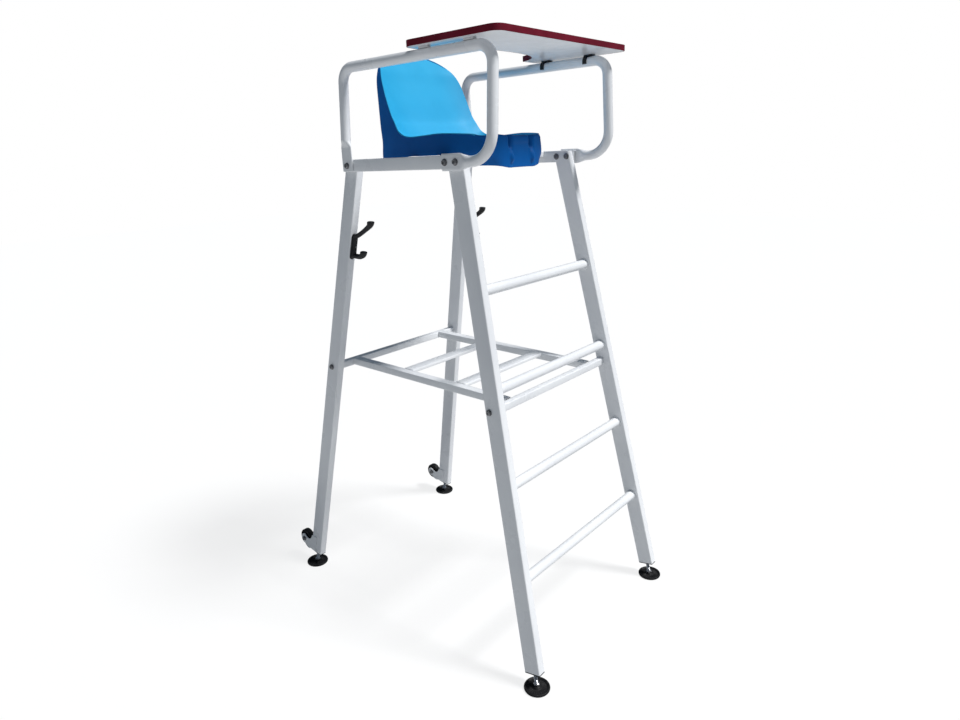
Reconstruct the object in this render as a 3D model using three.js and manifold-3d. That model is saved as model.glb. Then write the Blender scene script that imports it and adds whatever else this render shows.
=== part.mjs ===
// Umpire chair: a ladder-fronted steel frame with a moulded seat, armrest hoops, a flip-up desk,
// a shelf rack, levelling feet and two transport wheels.
// Millimetres, +Z up, +X across, the ladder and the sitter face -Y. Origin on the floor, mid chair.
// Sides are the sitter's own: right is -X and left is +X.
import * as THREE from 'three';
import { mergeVertices } from 'three/addons/utils/BufferGeometryUtils.js';
import Module from 'manifold-3d';

const wasm = await Module();
wasm.setup();

// Shared fits
const gap = 0.3;
const overrun = 15;
const perPoint = 3;
const sides = [{ tag: 'right', sign: -1 }, { tag: 'left', sign: 1 }];

// Legs: rectangular tube, each on a straight line from the floor to the head height
const legDepth = 60;
const legThick = 30;
const legWall = 2;
const legCorner = 4;
const legEndHeight = 58;
const legTopInset = 2;
const headHeight = 1554;
const headHalfWidth = 288;
const frontLeg = { tag: 'front', footX: 392, footY: -573, headX: headHalfWidth, headY: -217.4 };
const rearLeg = { tag: 'rear', footX: 396.8, footY: 573, headX: headHalfWidth, headY: 285.3 };
const cornerSteps = 1;

// Rungs of the ladder
const rungDiameter = 34;
const rungWall = 2;
const firstRungHeight = 353;
const rungPitch = 301;
const rungCount = 4;
const roundSteps = 6;

// Seat rails, bolted on the outer faces of the legs, a little higher at the front. The rail's heights
// are those at the middles of the two legs, and the front one is where the seat unit's own Y starts.
const railTall = 40;
const railThick = 13;
const railWall = 2;
const railCorner = 2;
const railFrontOverhang = 31;
const railRearOverhang = 22.6;
const railFrontHeight = 1636.25;
const railRearHeight = 1623.9;

// Armrest hoops: round tube whose ends are pressed flat against the rails
const hoopDiameter = 32;
const hoopWall = 2;
const hoopHeight = 304;
const hoopFrontY = -161.3;
const hoopRearSet = 2.4;
const hoopUpperBend = 48;
const hoopLowerBend = 80;
const flatThick = 6;
const flatWidth = 50;
const flatFrontEndY = 33.7;
const flatFrontStartY = -32;
const flatRearTop = 57;
const flatRearFoot = -18;
const flattenFront = 46;
const flattenRear = 26;
const flatWallShare = 0.6;
const bendSteps = 5;
const flattenSteps = 3;

// Bolts
const boltDiameter = 9;
const boltHeadDiameter = 20;
const boltHeadThick = 6;
const boltHeadChamfer = 1.5;
const nutDiameter = 18;
const nutThick = 8;
const railBoltPitch = 42;
const boltSides = 10;

// Shelf rack between the legs
const shelfHeight = 891;
const shelfBarSize = 25;
const shelfBarWall = 2;
const shelfBarCorner = 2;
const shelfFrontSet = 14.7;
const shelfRearSet = 4.1;
const shelfBoltLift = 2;
const sideBarHalfSpan = 238;
const sideBarWidth = 32;
const sideBarTall = 26;
const sideBarLift = 2;
const slatWidth = 45;
const slatThick = 12;
const slatWall = 1.5;
const slatLift = 10;
const slatShares = [0.119, 0.299, 0.629];

// Seat carrier bars and seat bolts
const carrierWidth = 40;
const carrierTall = 20;
const carrierYs = [118.7, 248.7];
const seatBoltHalfSpan = 90;
const seatBoltDiameter = 8;
const seatBoltHeadDiameter = 18;
const seatBoltHeadThick = 3;

// Moulded seat: half width, depth and height that its outline follows
const seatHalfWidth = 215;
const seatFrontY = -23.3;
const seatBackY = 454.7;
const seatPanDepth = 59;
const seatRimHeight = 83.3;
const seatBackHeight = 279.7;
const seatSkirtDrop = 111.3;
const seatShell = 4;
const seatColumns = 14;
const seatBowlPower = 4;

// Desk
const deskHalfWidth = 345;
const deskFrontY = -214.3;
const deskRearY = 141.7;
const deskThick = 18;
const deskBand = 2.5;
const deskCorner = 32;
const deskCornerSteps = 3;
const bellyHalfWidth = 240;
const bellyDepth = 120;
const bellyPower = 2.6;
const bellySteps = 24;
const bellyCornerShare = 0.12;
const padThick = 4;
const padLength = 40;
const padWidth = 16;
const padCorner = 4;
const clipYs = [-82.3, 91.7];
const clipThick = 3.2;
const clipWidth = 15;
const clipBaseLength = 34;
const clipBaseWidth = 26;
const clipHalfWrap = THREE.MathUtils.degToRad(115);
const clipSteps = 6;

// Levelling feet and the plugs in the leg ends
const padDiameter = 86;
const padHeight = 10;
const padRimWidth = 7;
const padRimRound = 3;
const padFloor = 5;
const padHubDiameter = 26;
const padHubHeight = 12;
const spindleDiameter = 12;
const spindleReach = 30;
const spindleStart = 6;
const plugFlange = 3;
const plugDepth = 32;
const footSides = 24;

// Transport wheels
const wheelDiameter = 70;
const wheelWidth = 24;
const wheelHub = 22;
const wheelRim = 54;
const wheelWeb = 12;
const wheelChamfer = 3;
const axleSet = 77;
const axleHeight = 96;
const axleDiameter = 8;
const axleHeadDiameter = 15;
const axleHeadThick = 5;
const cheekThick = 3;
const cheekEye = 21;
const cheekPullDrop = 44;
const cheekTopRise = 32;
const cheekSteps = 2;
const wheelSides = 20;

// Coat hooks on the front faces of the rear legs
const hookHeight = 1350;
const hookPlateTall = 90;
const hookPlateWidth = 22;
const hookPlateThick = 5;
const hookRod = 18;
const hookTip = 26;
const upperReach = 92;
const upperRise = 90;
const lowerReach = 65;
const lowerDrop = 33;
const lowerTipDrop = 10;
const upperProngShares = [[0.03, 0.36], [0.33, 0.5], [0.7, 0.72]];
const lowerProngShares = [[0.04, 0.73], [0.33, 1], [0.75, 0.9]];
const hookSteps = 7;
const hookSides = 8;
const hookRoundSteps = 4;

const finishes = {
  paint: { color: 0xe9ebee, roughness: 0.35, metalness: 0.1 },
  seat: { color: 0x1f8fd0, roughness: 0.42, metalness: 0 },
  desk: { color: 0xd9dce2, roughness: 0.5, metalness: 0 },
  band: { color: 0x5a141e, roughness: 0.45, metalness: 0 },
  black: { color: 0x141416, roughness: 0.55, metalness: 0 },
  bolt: { color: 0x4a4c50, roughness: 0.4, metalness: 0.8 },
};

const chair = new THREE.Group();
const mountFrontY = legAt(frontLeg, railFrontHeight).y;
const mountRearY = legAt(rearLeg, railRearHeight).y;
const slope = (railRearHeight - railFrontHeight) / (mountRearY - mountFrontY);
const seatUnit = new THREE.Group();
seatUnit.position.set(0, mountFrontY, railFrontHeight);
seatUnit.rotation.x = Math.atan(slope);
seatUnit.updateMatrixWorld();
chair.add(seatUnit);

// Places along the seat unit's own Y
const mountSpan = Math.hypot(mountRearY - mountFrontY, railRearHeight - railFrontHeight);
const hoopRearY = mountSpan - hoopRearSet;
const railFrontY = -railFrontOverhang;
const railRearY = mountSpan + railRearOverhang;
const railBolts = [
  { tag: 'front_outer', leg: frontLeg, y: -railBoltPitch / 2 },
  { tag: 'front_inner', leg: frontLeg, y: railBoltPitch / 2 },
  { tag: 'rear', leg: rearLeg, y: hoopRearY },
];

// Places along the chair's own Y
const axleY = legAt(rearLeg, axleHeight).y + axleSet;
const shelfFrontY = legAt(frontLeg, shelfHeight).y + shelfFrontSet;
const shelfRearY = legAt(rearLeg, shelfHeight).y + shelfRearSet;

function signedVolume(geometry) {
  const place = geometry.attributes.position;
  const order = geometry.index;
  const corner = (i) => new THREE.Vector3().fromBufferAttribute(place, order ? order.getX(i) : i);
  const count = order ? order.count : place.count;
  let sum = 0;
  for (let i = 0; i < count; i += perPoint) {
    sum += corner(i).dot(corner(i + 1).cross(corner(i + 2)));
  }
  return sum;
}

// A geometry with shared vertices whose faces point out
function outward(geometry) {
  const plain = geometry.clone();
  plain.deleteAttribute('normal');
  plain.deleteAttribute('uv');
  const merged = mergeVertices(plain);
  if (signedVolume(merged) < 0) {
    merged.index.array.reverse();
  }
  return merged;
}

function solid(geometry) {
  const merged = outward(geometry);
  return new wasm.Manifold(new wasm.Mesh({
    numProp: perPoint,
    vertProperties: Float32Array.from(merged.attributes.position.array),
    triVerts: Uint32Array.from(merged.index.array),
  }));
}

function surface(manifold) {
  const result = manifold.getMesh();
  const geometry = new THREE.BufferGeometry();
  geometry.setAttribute('position', new THREE.BufferAttribute(result.vertProperties, perPoint));
  geometry.setIndex(new THREE.BufferAttribute(result.triVerts, 1));
  return geometry;
}

function cut(geometry, tools) {
  return surface(tools.reduce((left, tool) => left.subtract(solid(tool)), solid(geometry)));
}

function join(pieces) {
  return surface(pieces.map(solid).reduce((sum, piece) => sum.add(piece)));
}

function addPiece(name, geometry, finish, parent = chair) {
  const shape = outward(geometry);
  shape.computeVertexNormals();
  const piece = new THREE.Mesh(shape, new THREE.MeshStandardMaterial(finishes[finish]));
  piece.name = name;
  parent.add(piece);
}

// Moves every vertex of a geometry to where the rule sends it
function remap(geometry, rule) {
  const place = geometry.attributes.position;
  for (let i = 0; i < place.count; i += 1) {
    const to = rule(place.getX(i), place.getY(i), place.getZ(i));
    place.setXYZ(i, to.x, to.y, to.z);
  }
  return geometry;
}

function roundedOutline(shape, width, height, radius) {
  const x = width / 2 - radius;
  const y = height / 2 - radius;
  const quarter = Math.PI / 2;
  shape.absarc(x, y, radius, 0, quarter);
  shape.absarc(-x, y, radius, quarter, Math.PI);
  shape.absarc(-x, -y, radius, Math.PI, Math.PI + quarter);
  shape.absarc(x, -y, radius, Math.PI + quarter, 2 * Math.PI);
  shape.closePath();
  return shape;
}

function boxSection(width, height, radius) {
  return roundedOutline(new THREE.Shape(), width, height, radius);
}

function tubeSection(width, height, radius, wall) {
  const shape = boxSection(width, height, radius);
  const inner = Math.max(radius - wall, wall / 2);
  shape.holes.push(roundedOutline(new THREE.Path(), width - 2 * wall, height - 2 * wall, inner));
  return shape;
}

function pipeSection(diameter, wall) {
  const shape = new THREE.Shape();
  shape.absarc(0, 0, diameter / 2, 0, 2 * Math.PI);
  const bore = new THREE.Path();
  bore.absarc(0, 0, diameter / 2 - wall, 0, 2 * Math.PI);
  shape.holes.push(bore);
  return shape;
}

function extrude(shape, depth, curveSegments = cornerSteps) {
  return new THREE.ExtrudeGeometry(shape, { depth, curveSegments, bevelEnabled: false });
}

// A round bar along X between two places
function barAlongX(fromX, toX, y, z, diameter, count = boltSides) {
  const bar = new THREE.CylinderGeometry(diameter / 2, diameter / 2, Math.abs(toX - fromX), count);
  bar.rotateZ(Math.PI / 2);
  return bar.translate((fromX + toX) / 2, y, z);
}

function barAlongZ(x, y, fromZ, toZ, diameter) {
  const bar = new THREE.CylinderGeometry(diameter / 2, diameter / 2, Math.abs(toZ - fromZ), boltSides);
  bar.rotateX(Math.PI / 2);
  return bar.translate(x, y, (fromZ + toZ) / 2);
}

// Centre of a leg at a height, on the +X side
function legAt(leg, z) {
  return {
    x: leg.footX + (leg.headX - leg.footX) * z / headHeight,
    y: leg.footY + (leg.headY - leg.footY) * z / headHeight,
  };
}

function leanX(leg) {
  return (leg.headX - leg.footX) / headHeight;
}

function leanY(leg) {
  return (leg.headY - leg.footY) / headHeight;
}

function legInnerX(leg, z) {
  return legAt(leg, z).x - legThick / 2;
}

// Depth of the leg's horizontal section for one millimetre of its square section
function sectionStretch(leg) {
  return Math.hypot(1, leanY(leg));
}

// Height of the leg's square-cut end at an offset along Y from its centre
function legEndAt(leg, offset) {
  return legEndHeight - offset * leanY(leg) / (1 + leanY(leg) ** 2);
}

function railHeightAt(y) {
  return railFrontHeight + slope * (y - mountFrontY);
}

// Height of the leg's top, cut parallel to the rail, at an offset along Y from its centre
function legTopAt(leg, offset) {
  const level = railHeightAt(leg.footY + offset) + railTall / 2 - legTopInset;
  return level / (1 - slope * leanY(leg));
}

// Bends a straight section laid on XY into the leg's line; rise gives the height at a depth offset
function alongLeg(geometry, leg, sign, rise) {
  return remap(geometry, (x, y, z) => {
    const offset = y * sectionStretch(leg);
    const height = rise(offset, z);
    const at = legAt(leg, height);
    return { x: sign * at.x + x, y: at.y + offset, z: height };
  });
}

function worldPlace(y, z) {
  return new THREE.Vector3(0, y, z).applyMatrix4(seatUnit.matrixWorld);
}

const railInnerX = gap + Math.max(...[frontLeg, rearLeg].map((leg) => {
  return legAt(leg, railRearHeight - railTall / 2).x + legThick / 2;
}));
const railCentreX = railInnerX + railThick / 2;
const railOuterX = railInnerX + railThick;
const hoopX = railOuterX + gap + flatThick / 2;
const hoopStraightTop = hoopHeight - hoopUpperBend;

// The posts of a hoop lean inwards with the legs, from the top of the rear plate to the upper bends
function hoopLean(z) {
  return leanX(frontLeg) * (Math.min(Math.max(z, flatRearTop), hoopStraightTop) - flatRearTop);
}

const hoopTopX = hoopX + hoopLean(hoopStraightTop);
const boltHole = boltDiameter + 2 * gap;

function boltBore(sign, y, z) {
  const from = railInnerX - legThick - overrun;
  return barAlongX(sign * from, sign * (hoopX + hoopDiameter + overrun), y, z, boltHole);
}

function makeLeg(leg, side) {
  const blank = extrude(tubeSection(legThick, legDepth, legCorner, legWall), 1);
  alongLeg(blank, leg, side.sign, (offset, z) => (z > 0 ? legTopAt(leg, offset) : legEndAt(leg, offset)));
  const holes = railBolts.filter((fixing) => fixing.leg === leg).map((fixing) => {
    const at = worldPlace(fixing.y, 0);
    return boltBore(side.sign, at.y, at.z);
  });
  const shelfY = leg === frontLeg ? shelfFrontY : shelfRearY;
  const reach = legThick + overrun;
  const shelfX = side.sign * legAt(leg, shelfHeight).x;
  holes.push(barAlongX(shelfX - reach, shelfX + reach, shelfY, shelfHeight + shelfBoltLift, boltHole));
  addPiece(`leg_${leg.tag}_${side.tag}`, cut(blank, holes), 'paint');
}

// A straight member along X whose ends follow the inner faces of the two legs it meets
function betweenLegs(shape, leg, y, z, curveSegments) {
  return remap(extrude(shape, 1, curveSegments), (a, b, t) => {
    const height = z + b;
    const end = legInnerX(leg, height) - gap;
    return { x: t > 0 ? end : -end, y: y + a, z: height };
  });
}

function makeRungs() {
  for (let i = 0; i < rungCount; i += 1) {
    const z = firstRungHeight + i * rungPitch;
    const rung = betweenLegs(pipeSection(rungDiameter, rungWall), frontLeg, legAt(frontLeg, z).y, z, roundSteps);
    addPiece(`rung_${i + 1}`, rung, 'paint');
  }
}

// A headed bolt with its nut along X: the head sits outside headX and the nut inside nutX
function bolt(sign, y, z, headX, nutX, nutWide) {
  const shank = boltDiameter / 2;
  const head = boltHeadDiameter / 2;
  const outline = [
    [0, nutX - nutThick], [nutWide / 2, nutX - nutThick], [nutWide / 2, nutX], [shank, nutX],
    [shank, headX], [head, headX], [head, headX + boltHeadThick - boltHeadChamfer],
    [head - boltHeadChamfer, headX + boltHeadThick], [0, headX + boltHeadThick],
  ].map(([radius, along]) => new THREE.Vector2(radius, along));
  const shape = new THREE.LatheGeometry(outline, boltSides);
  shape.rotateZ(-sign * Math.PI / 2);
  return shape.translate(0, y, z);
}

function makeRailBolts(side) {
  for (const { tag, leg, y } of railBolts) {
    const at = worldPlace(y, 0);
    const seat = legInnerX(leg, at.z) - gap + leanX(leg) * nutDiameter / 2;
    const shape = bolt(side.sign, at.y, at.z, hoopX + flatThick / 2 + gap, seat, nutDiameter);
    addPiece(`rail_bolt_${tag}_${side.tag}`, shape, 'bolt');
  }
}

function makeRail(side) {
  const length = railRearY - railFrontY;
  const blank = extrude(tubeSection(railThick, railTall, railCorner, railWall), length);
  blank.rotateX(Math.PI / 2);
  blank.translate(side.sign * railCentreX, railRearY, 0);
  const holes = railBolts.map((fixing) => boltBore(side.sign, fixing.y, 0));
  addPiece(`seat_rail_${side.tag}`, cut(blank, holes), 'paint', seatUnit);
}

// A path through given stations, each one step of the sweep
class StationPath extends THREE.Curve {
  constructor(stations) {
    super();
    this.stations = stations;
  }

  getUtoTmapping(u) {
    return u;
  }

  getPoint(t) {
    const last = this.stations.length - 1;
    const whole = Math.min(Math.floor(t * last), last - 1);
    return this.stations[whole].clone().lerp(this.stations[whole + 1], t * last - whole);
  }
}

function arcStations(x, y, z, radius, from, to) {
  const stations = [];
  for (let i = 0; i <= bendSteps; i += 1) {
    const turn = from + (to - from) * i / bendSteps;
    stations.push(new THREE.Vector3(x, y + radius * Math.cos(turn), z + radius * Math.sin(turn)));
  }
  return stations;
}

function lineStations(from, to, steps) {
  return Array.from({ length: steps }, (unused, i) => from.clone().lerp(to, i / steps));
}

const flatFrontRoundY = flatFrontStartY - flattenFront;
const flatRearRound = flatRearTop + flattenRear;
const lowerBendY = hoopFrontY + hoopLowerBend;

function hoopStations(x) {
  const at = (y, z) => new THREE.Vector3(x, y, z);
  const quarter = Math.PI / 2;
  return [
    at(flatFrontEndY, 0),
    ...lineStations(at(flatFrontStartY, 0), at(flatFrontRoundY, 0), flattenSteps),
    ...arcStations(x, lowerBendY, hoopLowerBend, hoopLowerBend, -quarter, -2 * quarter),
    ...arcStations(x, hoopFrontY + hoopUpperBend, hoopStraightTop, hoopUpperBend, 2 * quarter, quarter),
    ...arcStations(x, hoopRearY - hoopUpperBend, hoopStraightTop, hoopUpperBend, quarter, 0),
    ...lineStations(at(hoopRearY, flatRearRound), at(hoopRearY, flatRearTop), flattenSteps),
    at(hoopRearY, flatRearTop),
    at(hoopRearY, flatRearFoot),
  ];
}

function smooth(value) {
  const held = Math.min(Math.max(value, 0), 1);
  return held * held * (1 + 2 * (1 - held));
}

// Presses a round offset towards a flat plate: thin across X and wide the other way
function pressed(across, wide, amount) {
  const radius = Math.hypot(across, wide);
  const depth = hoopDiameter / 2 - radius;
  const thin = (flatThick / 2 - depth) * Math.min(Math.max(across / radius / flatWallShare, -1), 1);
  const broad = (flatWidth / 2 - depth) * wide / radius;
  return { across: across + (thin - across) * amount, wide: wide + (broad - wide) * amount };
}

function makeHoop(side) {
  const x = side.sign * hoopX;
  const stations = hoopStations(x);
  const blank = new THREE.ExtrudeGeometry(pipeSection(hoopDiameter, hoopWall), {
    extrudePath: new StationPath(stations),
    steps: stations.length - 1,
    curveSegments: roundSteps,
    bevelEnabled: false,
  });
  remap(blank, (px, py, pz) => {
    if (pz < hoopDiameter && py > flatFrontRoundY && py < hoopRearY / 2) {
      const amount = smooth((py - flatFrontRoundY) / flattenFront);
      const to = pressed(px - x, pz, amount);
      return { x: x + to.across, y: py, z: to.wide };
    }
    if (py > hoopRearY - hoopDiameter && pz < flatRearRound) {
      const to = pressed(px - x, py - hoopRearY, smooth((flatRearRound - pz) / flattenRear));
      return { x: x + to.across + side.sign * hoopLean(pz), y: hoopRearY + to.wide, z: pz };
    }
    return { x: px + side.sign * hoopLean(pz), y: py, z: pz };
  });
  const holes = railBolts.map((fixing) => boltBore(side.sign, fixing.y, 0));
  addPiece(`armrest_hoop_${side.tag}`, cut(blank, holes), 'paint', seatUnit);
}

function makeShelf() {
  const section = tubeSection(shelfBarSize, shelfBarSize, shelfBarCorner, shelfBarWall);
  addPiece('shelf_bar_front', betweenLegs(section, frontLeg, shelfFrontY, shelfHeight), 'paint');
  addPiece('shelf_bar_rear', betweenLegs(section, rearLeg, shelfRearY, shelfHeight), 'paint');
  const from = shelfFrontY + shelfBarSize / 2 + gap;
  const to = shelfRearY - shelfBarSize / 2 - gap;
  for (const side of sides) {
    const bar = extrude(tubeSection(sideBarWidth, sideBarTall, shelfBarCorner, shelfBarWall), to - from);
    bar.rotateX(Math.PI / 2);
    bar.translate(side.sign * sideBarHalfSpan, to, shelfHeight + sideBarLift);
    addPiece(`shelf_side_bar_${side.tag}`, bar, 'paint');
  }
  slatShares.forEach((share, i) => {
    const y = shelfFrontY + share * (shelfRearY - shelfFrontY);
    const length = 2 * (sideBarHalfSpan - sideBarWidth / 2 - gap);
    const slat = extrude(tubeSection(slatThick, slatWidth, shelfBarCorner, slatWall), length);
    slat.rotateY(Math.PI / 2);
    slat.translate(-length / 2, y, shelfHeight + slatLift);
    addPiece(`shelf_slat_${i + 1}`, slat, 'paint');
  });
}

function makeShelfBolts(side) {
  for (const leg of [frontLeg, rearLeg]) {
    const y = leg === frontLeg ? shelfFrontY : shelfRearY;
    const z = shelfHeight + shelfBoltLift;
    const outer = legAt(leg, z).x + legThick / 2 + gap - leanX(leg) * boltHeadDiameter / 2;
    const inner = legInnerX(leg, z) - shelfBarSize / 2;
    const nut = shelfBarSize - 2 * (shelfBarWall + shelfBoltLift);
    const shape = bolt(side.sign, y, z, outer, inner, nut);
    addPiece(`shelf_bolt_${leg.tag}_${side.tag}`, shape, 'bolt');
  }
}

const carrierTop = railTall / 2;
const panTop = carrierTop + gap + seatShell;

function makeCarriers() {
  carrierYs.forEach((y, i) => {
    const length = 2 * (railInnerX - gap);
    const bar = extrude(tubeSection(carrierTall, carrierWidth, shelfBarCorner, railWall), length);
    bar.rotateY(Math.PI / 2);
    bar.translate(-length / 2, y, carrierTop - carrierTall / 2);
    const holes = sides.map((side) => {
      const x = side.sign * seatBoltHalfSpan;
      return barAlongZ(x, y, -overrun - carrierTall, carrierTop + overrun, seatBoltDiameter + 2 * gap);
    });
    addPiece(`seat_carrier_${i === 0 ? 'front' : 'rear'}`, cut(bar, holes), 'paint', seatUnit);
  });
}

// Seat rows from the front lip over the pan and up the back. Shares of the seat's sizes:
// half width, rim along Y, rim height, middle along Y, middle height, flange end along Y and height.
// Heights above the rim are shares of the back height, heights below it are shares of the pan depth
// in the middle and of the skirt drop at the flange end.
const seatRowShares = [
  [0.33, 0, -0.048, 0, -0.226, -0.006, -0.98],
  [0.5, 0.012, -0.046, 0.02, -0.26, 0.01, -0.93],
  [0.66, 0.052, -0.04, 0.062, -0.38, 0.05, -0.9],
  [0.81, 0.115, -0.028, 0.124, -0.6, 0.113, -0.88],
  [0.91, 0.18, -0.018, 0.19, -0.82, 0.178, -0.84],
  [0.97, 0.255, -0.01, 0.262, -1, 0.253, -0.565],
  [1, 0.353, -0.006, 0.36, -1, 0.353, -0.56],
  [1, 0.497, 0, 0.497, -1, 0.497, -0.56],
  [1, 0.6, 0.003, 0.6, -1, 0.62, -0.56],
  [1, 0.651, 0.008, 0.672, -0.8, 0.79, -0.56],
  [0.995, 0.686, 0.038, 0.723, -0.42, 0.878, -0.5],
  [0.986, 0.723, 0.085, 0.764, 0.02, 0.883, -0.12],
  [0.967, 0.764, 0.185, 0.805, 0.13, 0.9, 0.113],
  [0.958, 0.795, 0.268, 0.838, 0.22, 0.907, 0.238],
  [0.944, 0.843, 0.467, 0.883, 0.43, 0.917, 0.445],
  [0.912, 0.886, 0.66, 0.926, 0.64, 0.934, 0.639],
  [0.851, 0.92, 0.782, 0.95, 0.775, 0.95, 0.76],
  [0.758, 0.958, 0.868, 0.972, 0.871, 0.97, 0.84],
  [0.558, 0.985, 0.943, 0.99, 0.946, 0.993, 0.911],
  [0.3, 1, 0.99, 1, 0.997, 1.012, 0.955],
];
const seatFlangeSteps = 2;

function seatHeightOf(share, belowSize) {
  return seatRimHeight + share * (share < 0 ? belowSize : seatBackHeight);
}

function seatRow(shares) {
  const [wide, rimY, rimZ, midY, midZ, endY, endZ] = shares;
  const along = (share) => seatFrontY + share * (seatBackY - seatFrontY);
  return {
    half: wide * seatHalfWidth,
    rim: { y: along(rimY), z: seatRimHeight + rimZ * seatBackHeight },
    middle: { y: along(midY), z: seatHeightOf(midZ, seatPanDepth) },
    end: { y: along(endY), z: seatHeightOf(endZ, seatSkirtDrop) },
  };
}

// The skin of the seat as points in rings: the sitting face row by row, then the turned-down flange
function seatSkin() {
  const rows = seatRowShares.map(seatRow);
  const points = [];
  const faces = [];
  const across = seatColumns + 1;
  for (const row of rows) {
    for (let i = 0; i < across; i += 1) {
      const u = Math.sin((i / seatColumns - 1 / 2) * Math.PI);
      const lift = Math.abs(u) ** seatBowlPower;
      points.push(new THREE.Vector3(
        u * row.half,
        row.middle.y + (row.rim.y - row.middle.y) * lift,
        row.middle.z + (row.rim.z - row.middle.z) * lift,
      ));
    }
  }
  for (let r = 0; r + 1 < rows.length; r += 1) {
    for (let i = 0; i < seatColumns; i += 1) {
      const a = r * across + i;
      faces.push([a, a + 1, a + across + 1], [a, a + across + 1, a + across]);
    }
  }
  const last = rows.length - 1;
  const loop = [];
  for (let i = 0; i < seatColumns; i += 1) loop.push({ index: i, row: 0 });
  for (let r = 0; r < last; r += 1) loop.push({ index: r * across + seatColumns, row: r });
  for (let i = seatColumns; i > 0; i -= 1) loop.push({ index: last * across + i, row: last });
  for (let r = last; r > 0; r -= 1) loop.push({ index: r * across, row: r });
  let previous = loop.map((entry) => entry.index);
  for (let step = 1; step <= seatFlangeSteps; step += 1) {
    const ring = loop.map((entry) => {
      const from = points[entry.index];
      const end = rows[entry.row].end;
      const t = step / seatFlangeSteps;
      const spread = 1 + t * seatShell / seatHalfWidth;
      points.push(new THREE.Vector3(
        from.x * spread,
        from.y + (end.y - from.y) * t,
        from.z + (end.z - from.z) * t,
      ));
      return points.length - 1;
    });
    ring.forEach((index, i) => {
      const next = (i + 1) % ring.length;
      faces.push([previous[i], index, ring[next]], [previous[i], ring[next], previous[next]]);
    });
    previous = ring;
  }
  return { points, faces, edge: previous };
}

// A closed shell: the skin, the same skin moved in by the thickness, and a strip round the edge
function thickened(skin, thickness) {
  const normals = skin.points.map(() => new THREE.Vector3());
  for (const [a, b, c] of skin.faces) {
    const normal = skin.points[b].clone().sub(skin.points[a]);
    normal.cross(skin.points[c].clone().sub(skin.points[a])).normalize();
    for (const corner of [a, b, c]) normals[corner].add(normal);
  }
  const count = skin.points.length;
  const inner = skin.points.map((point, i) => {
    return point.clone().addScaledVector(normals[i].normalize(), -thickness);
  });
  const faces = [...skin.faces];
  for (const [a, b, c] of skin.faces) faces.push([a + count, c + count, b + count]);
  skin.edge.forEach((index, i) => {
    const next = skin.edge[(i + 1) % skin.edge.length];
    faces.push([index, index + count, next + count], [index, next + count, next]);
  });
  const geometry = new THREE.BufferGeometry();
  geometry.setFromPoints([...skin.points, ...inner]);
  geometry.setIndex(faces.flat());
  return geometry;
}

function makeSeat() {
  const holes = [];
  for (const y of carrierYs) {
    for (const side of sides) {
      const x = side.sign * seatBoltHalfSpan;
      holes.push(barAlongZ(x, y, carrierTop - overrun, panTop + overrun, seatBoltDiameter + 2 * gap));
    }
  }
  addPiece('seat_shell', cut(thickened(seatSkin(), seatShell), holes), 'seat', seatUnit);
}

function makeSeatBolts() {
  carrierYs.forEach((y, i) => {
    for (const side of sides) {
      const foot = carrierTop - carrierTall - gap;
      const top = panTop + 2 * seatBoltHeadThick;
      const shank = seatBoltDiameter / 2;
      const head = seatBoltHeadDiameter / 2;
      const outline = [
        [0, foot - nutThick], [head, foot - nutThick], [head, foot], [shank, foot], [shank, top],
        [head, top], [head / 2, top + seatBoltHeadThick], [0, top + seatBoltHeadThick],
      ].map(([radius, along]) => new THREE.Vector2(radius, along));
      const shape = new THREE.LatheGeometry(outline, boltSides);
      shape.rotateX(Math.PI / 2);
      shape.translate(side.sign * seatBoltHalfSpan, y, 0);
      addPiece(`seat_bolt_${i === 0 ? 'front' : 'rear'}_${side.tag}`, shape, 'bolt', seatUnit);
    }
  });
}

// Outline of the desk, drawn in by inset: rounded corners and a hollow for the sitter at the rear
function deskOutline(shape, inset) {
  const x = deskHalfWidth - inset;
  const front = deskFrontY + inset;
  const rear = deskRearY - inset;
  const radius = deskCorner - inset;
  const hollow = bellyHalfWidth + inset;
  const quarter = Math.PI / 2;
  shape.absarc(-x + radius, front + radius, radius, 2 * quarter, 3 * quarter);
  shape.absarc(x - radius, front + radius, radius, 3 * quarter, 4 * quarter);
  shape.absarc(x - radius, rear - radius, radius, 0, quarter);
  for (let i = 0; i <= bellySteps; i += 1) {
    const turn = Math.PI * (bellyCornerShare + (1 - 2 * bellyCornerShare) * i / bellySteps - 1 / 2);
    const start = Math.PI * (bellyCornerShare - 1 / 2);
    const level = (angle) => Math.cos(angle) ** (2 / bellyPower);
    const across = -Math.sign(turn) * Math.abs(Math.sin(turn)) ** (2 / bellyPower);
    const sunk = (level(turn) - level(start)) / (1 - level(start));
    const width = Math.abs(Math.sin(start)) ** (2 / bellyPower);
    shape.lineTo(hollow * across / width, rear - bellyDepth * sunk);
  }
  shape.absarc(-x + radius, rear - radius, radius, quarter, 2 * quarter);
  shape.closePath();
  return shape;
}

const deskUnderside = hoopHeight + hoopDiameter / 2 + padThick + 2 * gap;

function makeDesk() {
  const board = extrude(deskOutline(new THREE.Shape(), deskBand + gap), deskThick, deskCornerSteps);
  board.translate(0, 0, deskUnderside);
  addPiece('desk_board', board, 'desk', seatUnit);
  const ring = deskOutline(new THREE.Shape(), 0);
  ring.holes.push(deskOutline(new THREE.Path(), deskBand));
  const band = extrude(ring, deskThick, deskCornerSteps);
  band.translate(0, 0, deskUnderside);
  addPiece('desk_edge_band', band, 'band', seatUnit);
}

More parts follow.
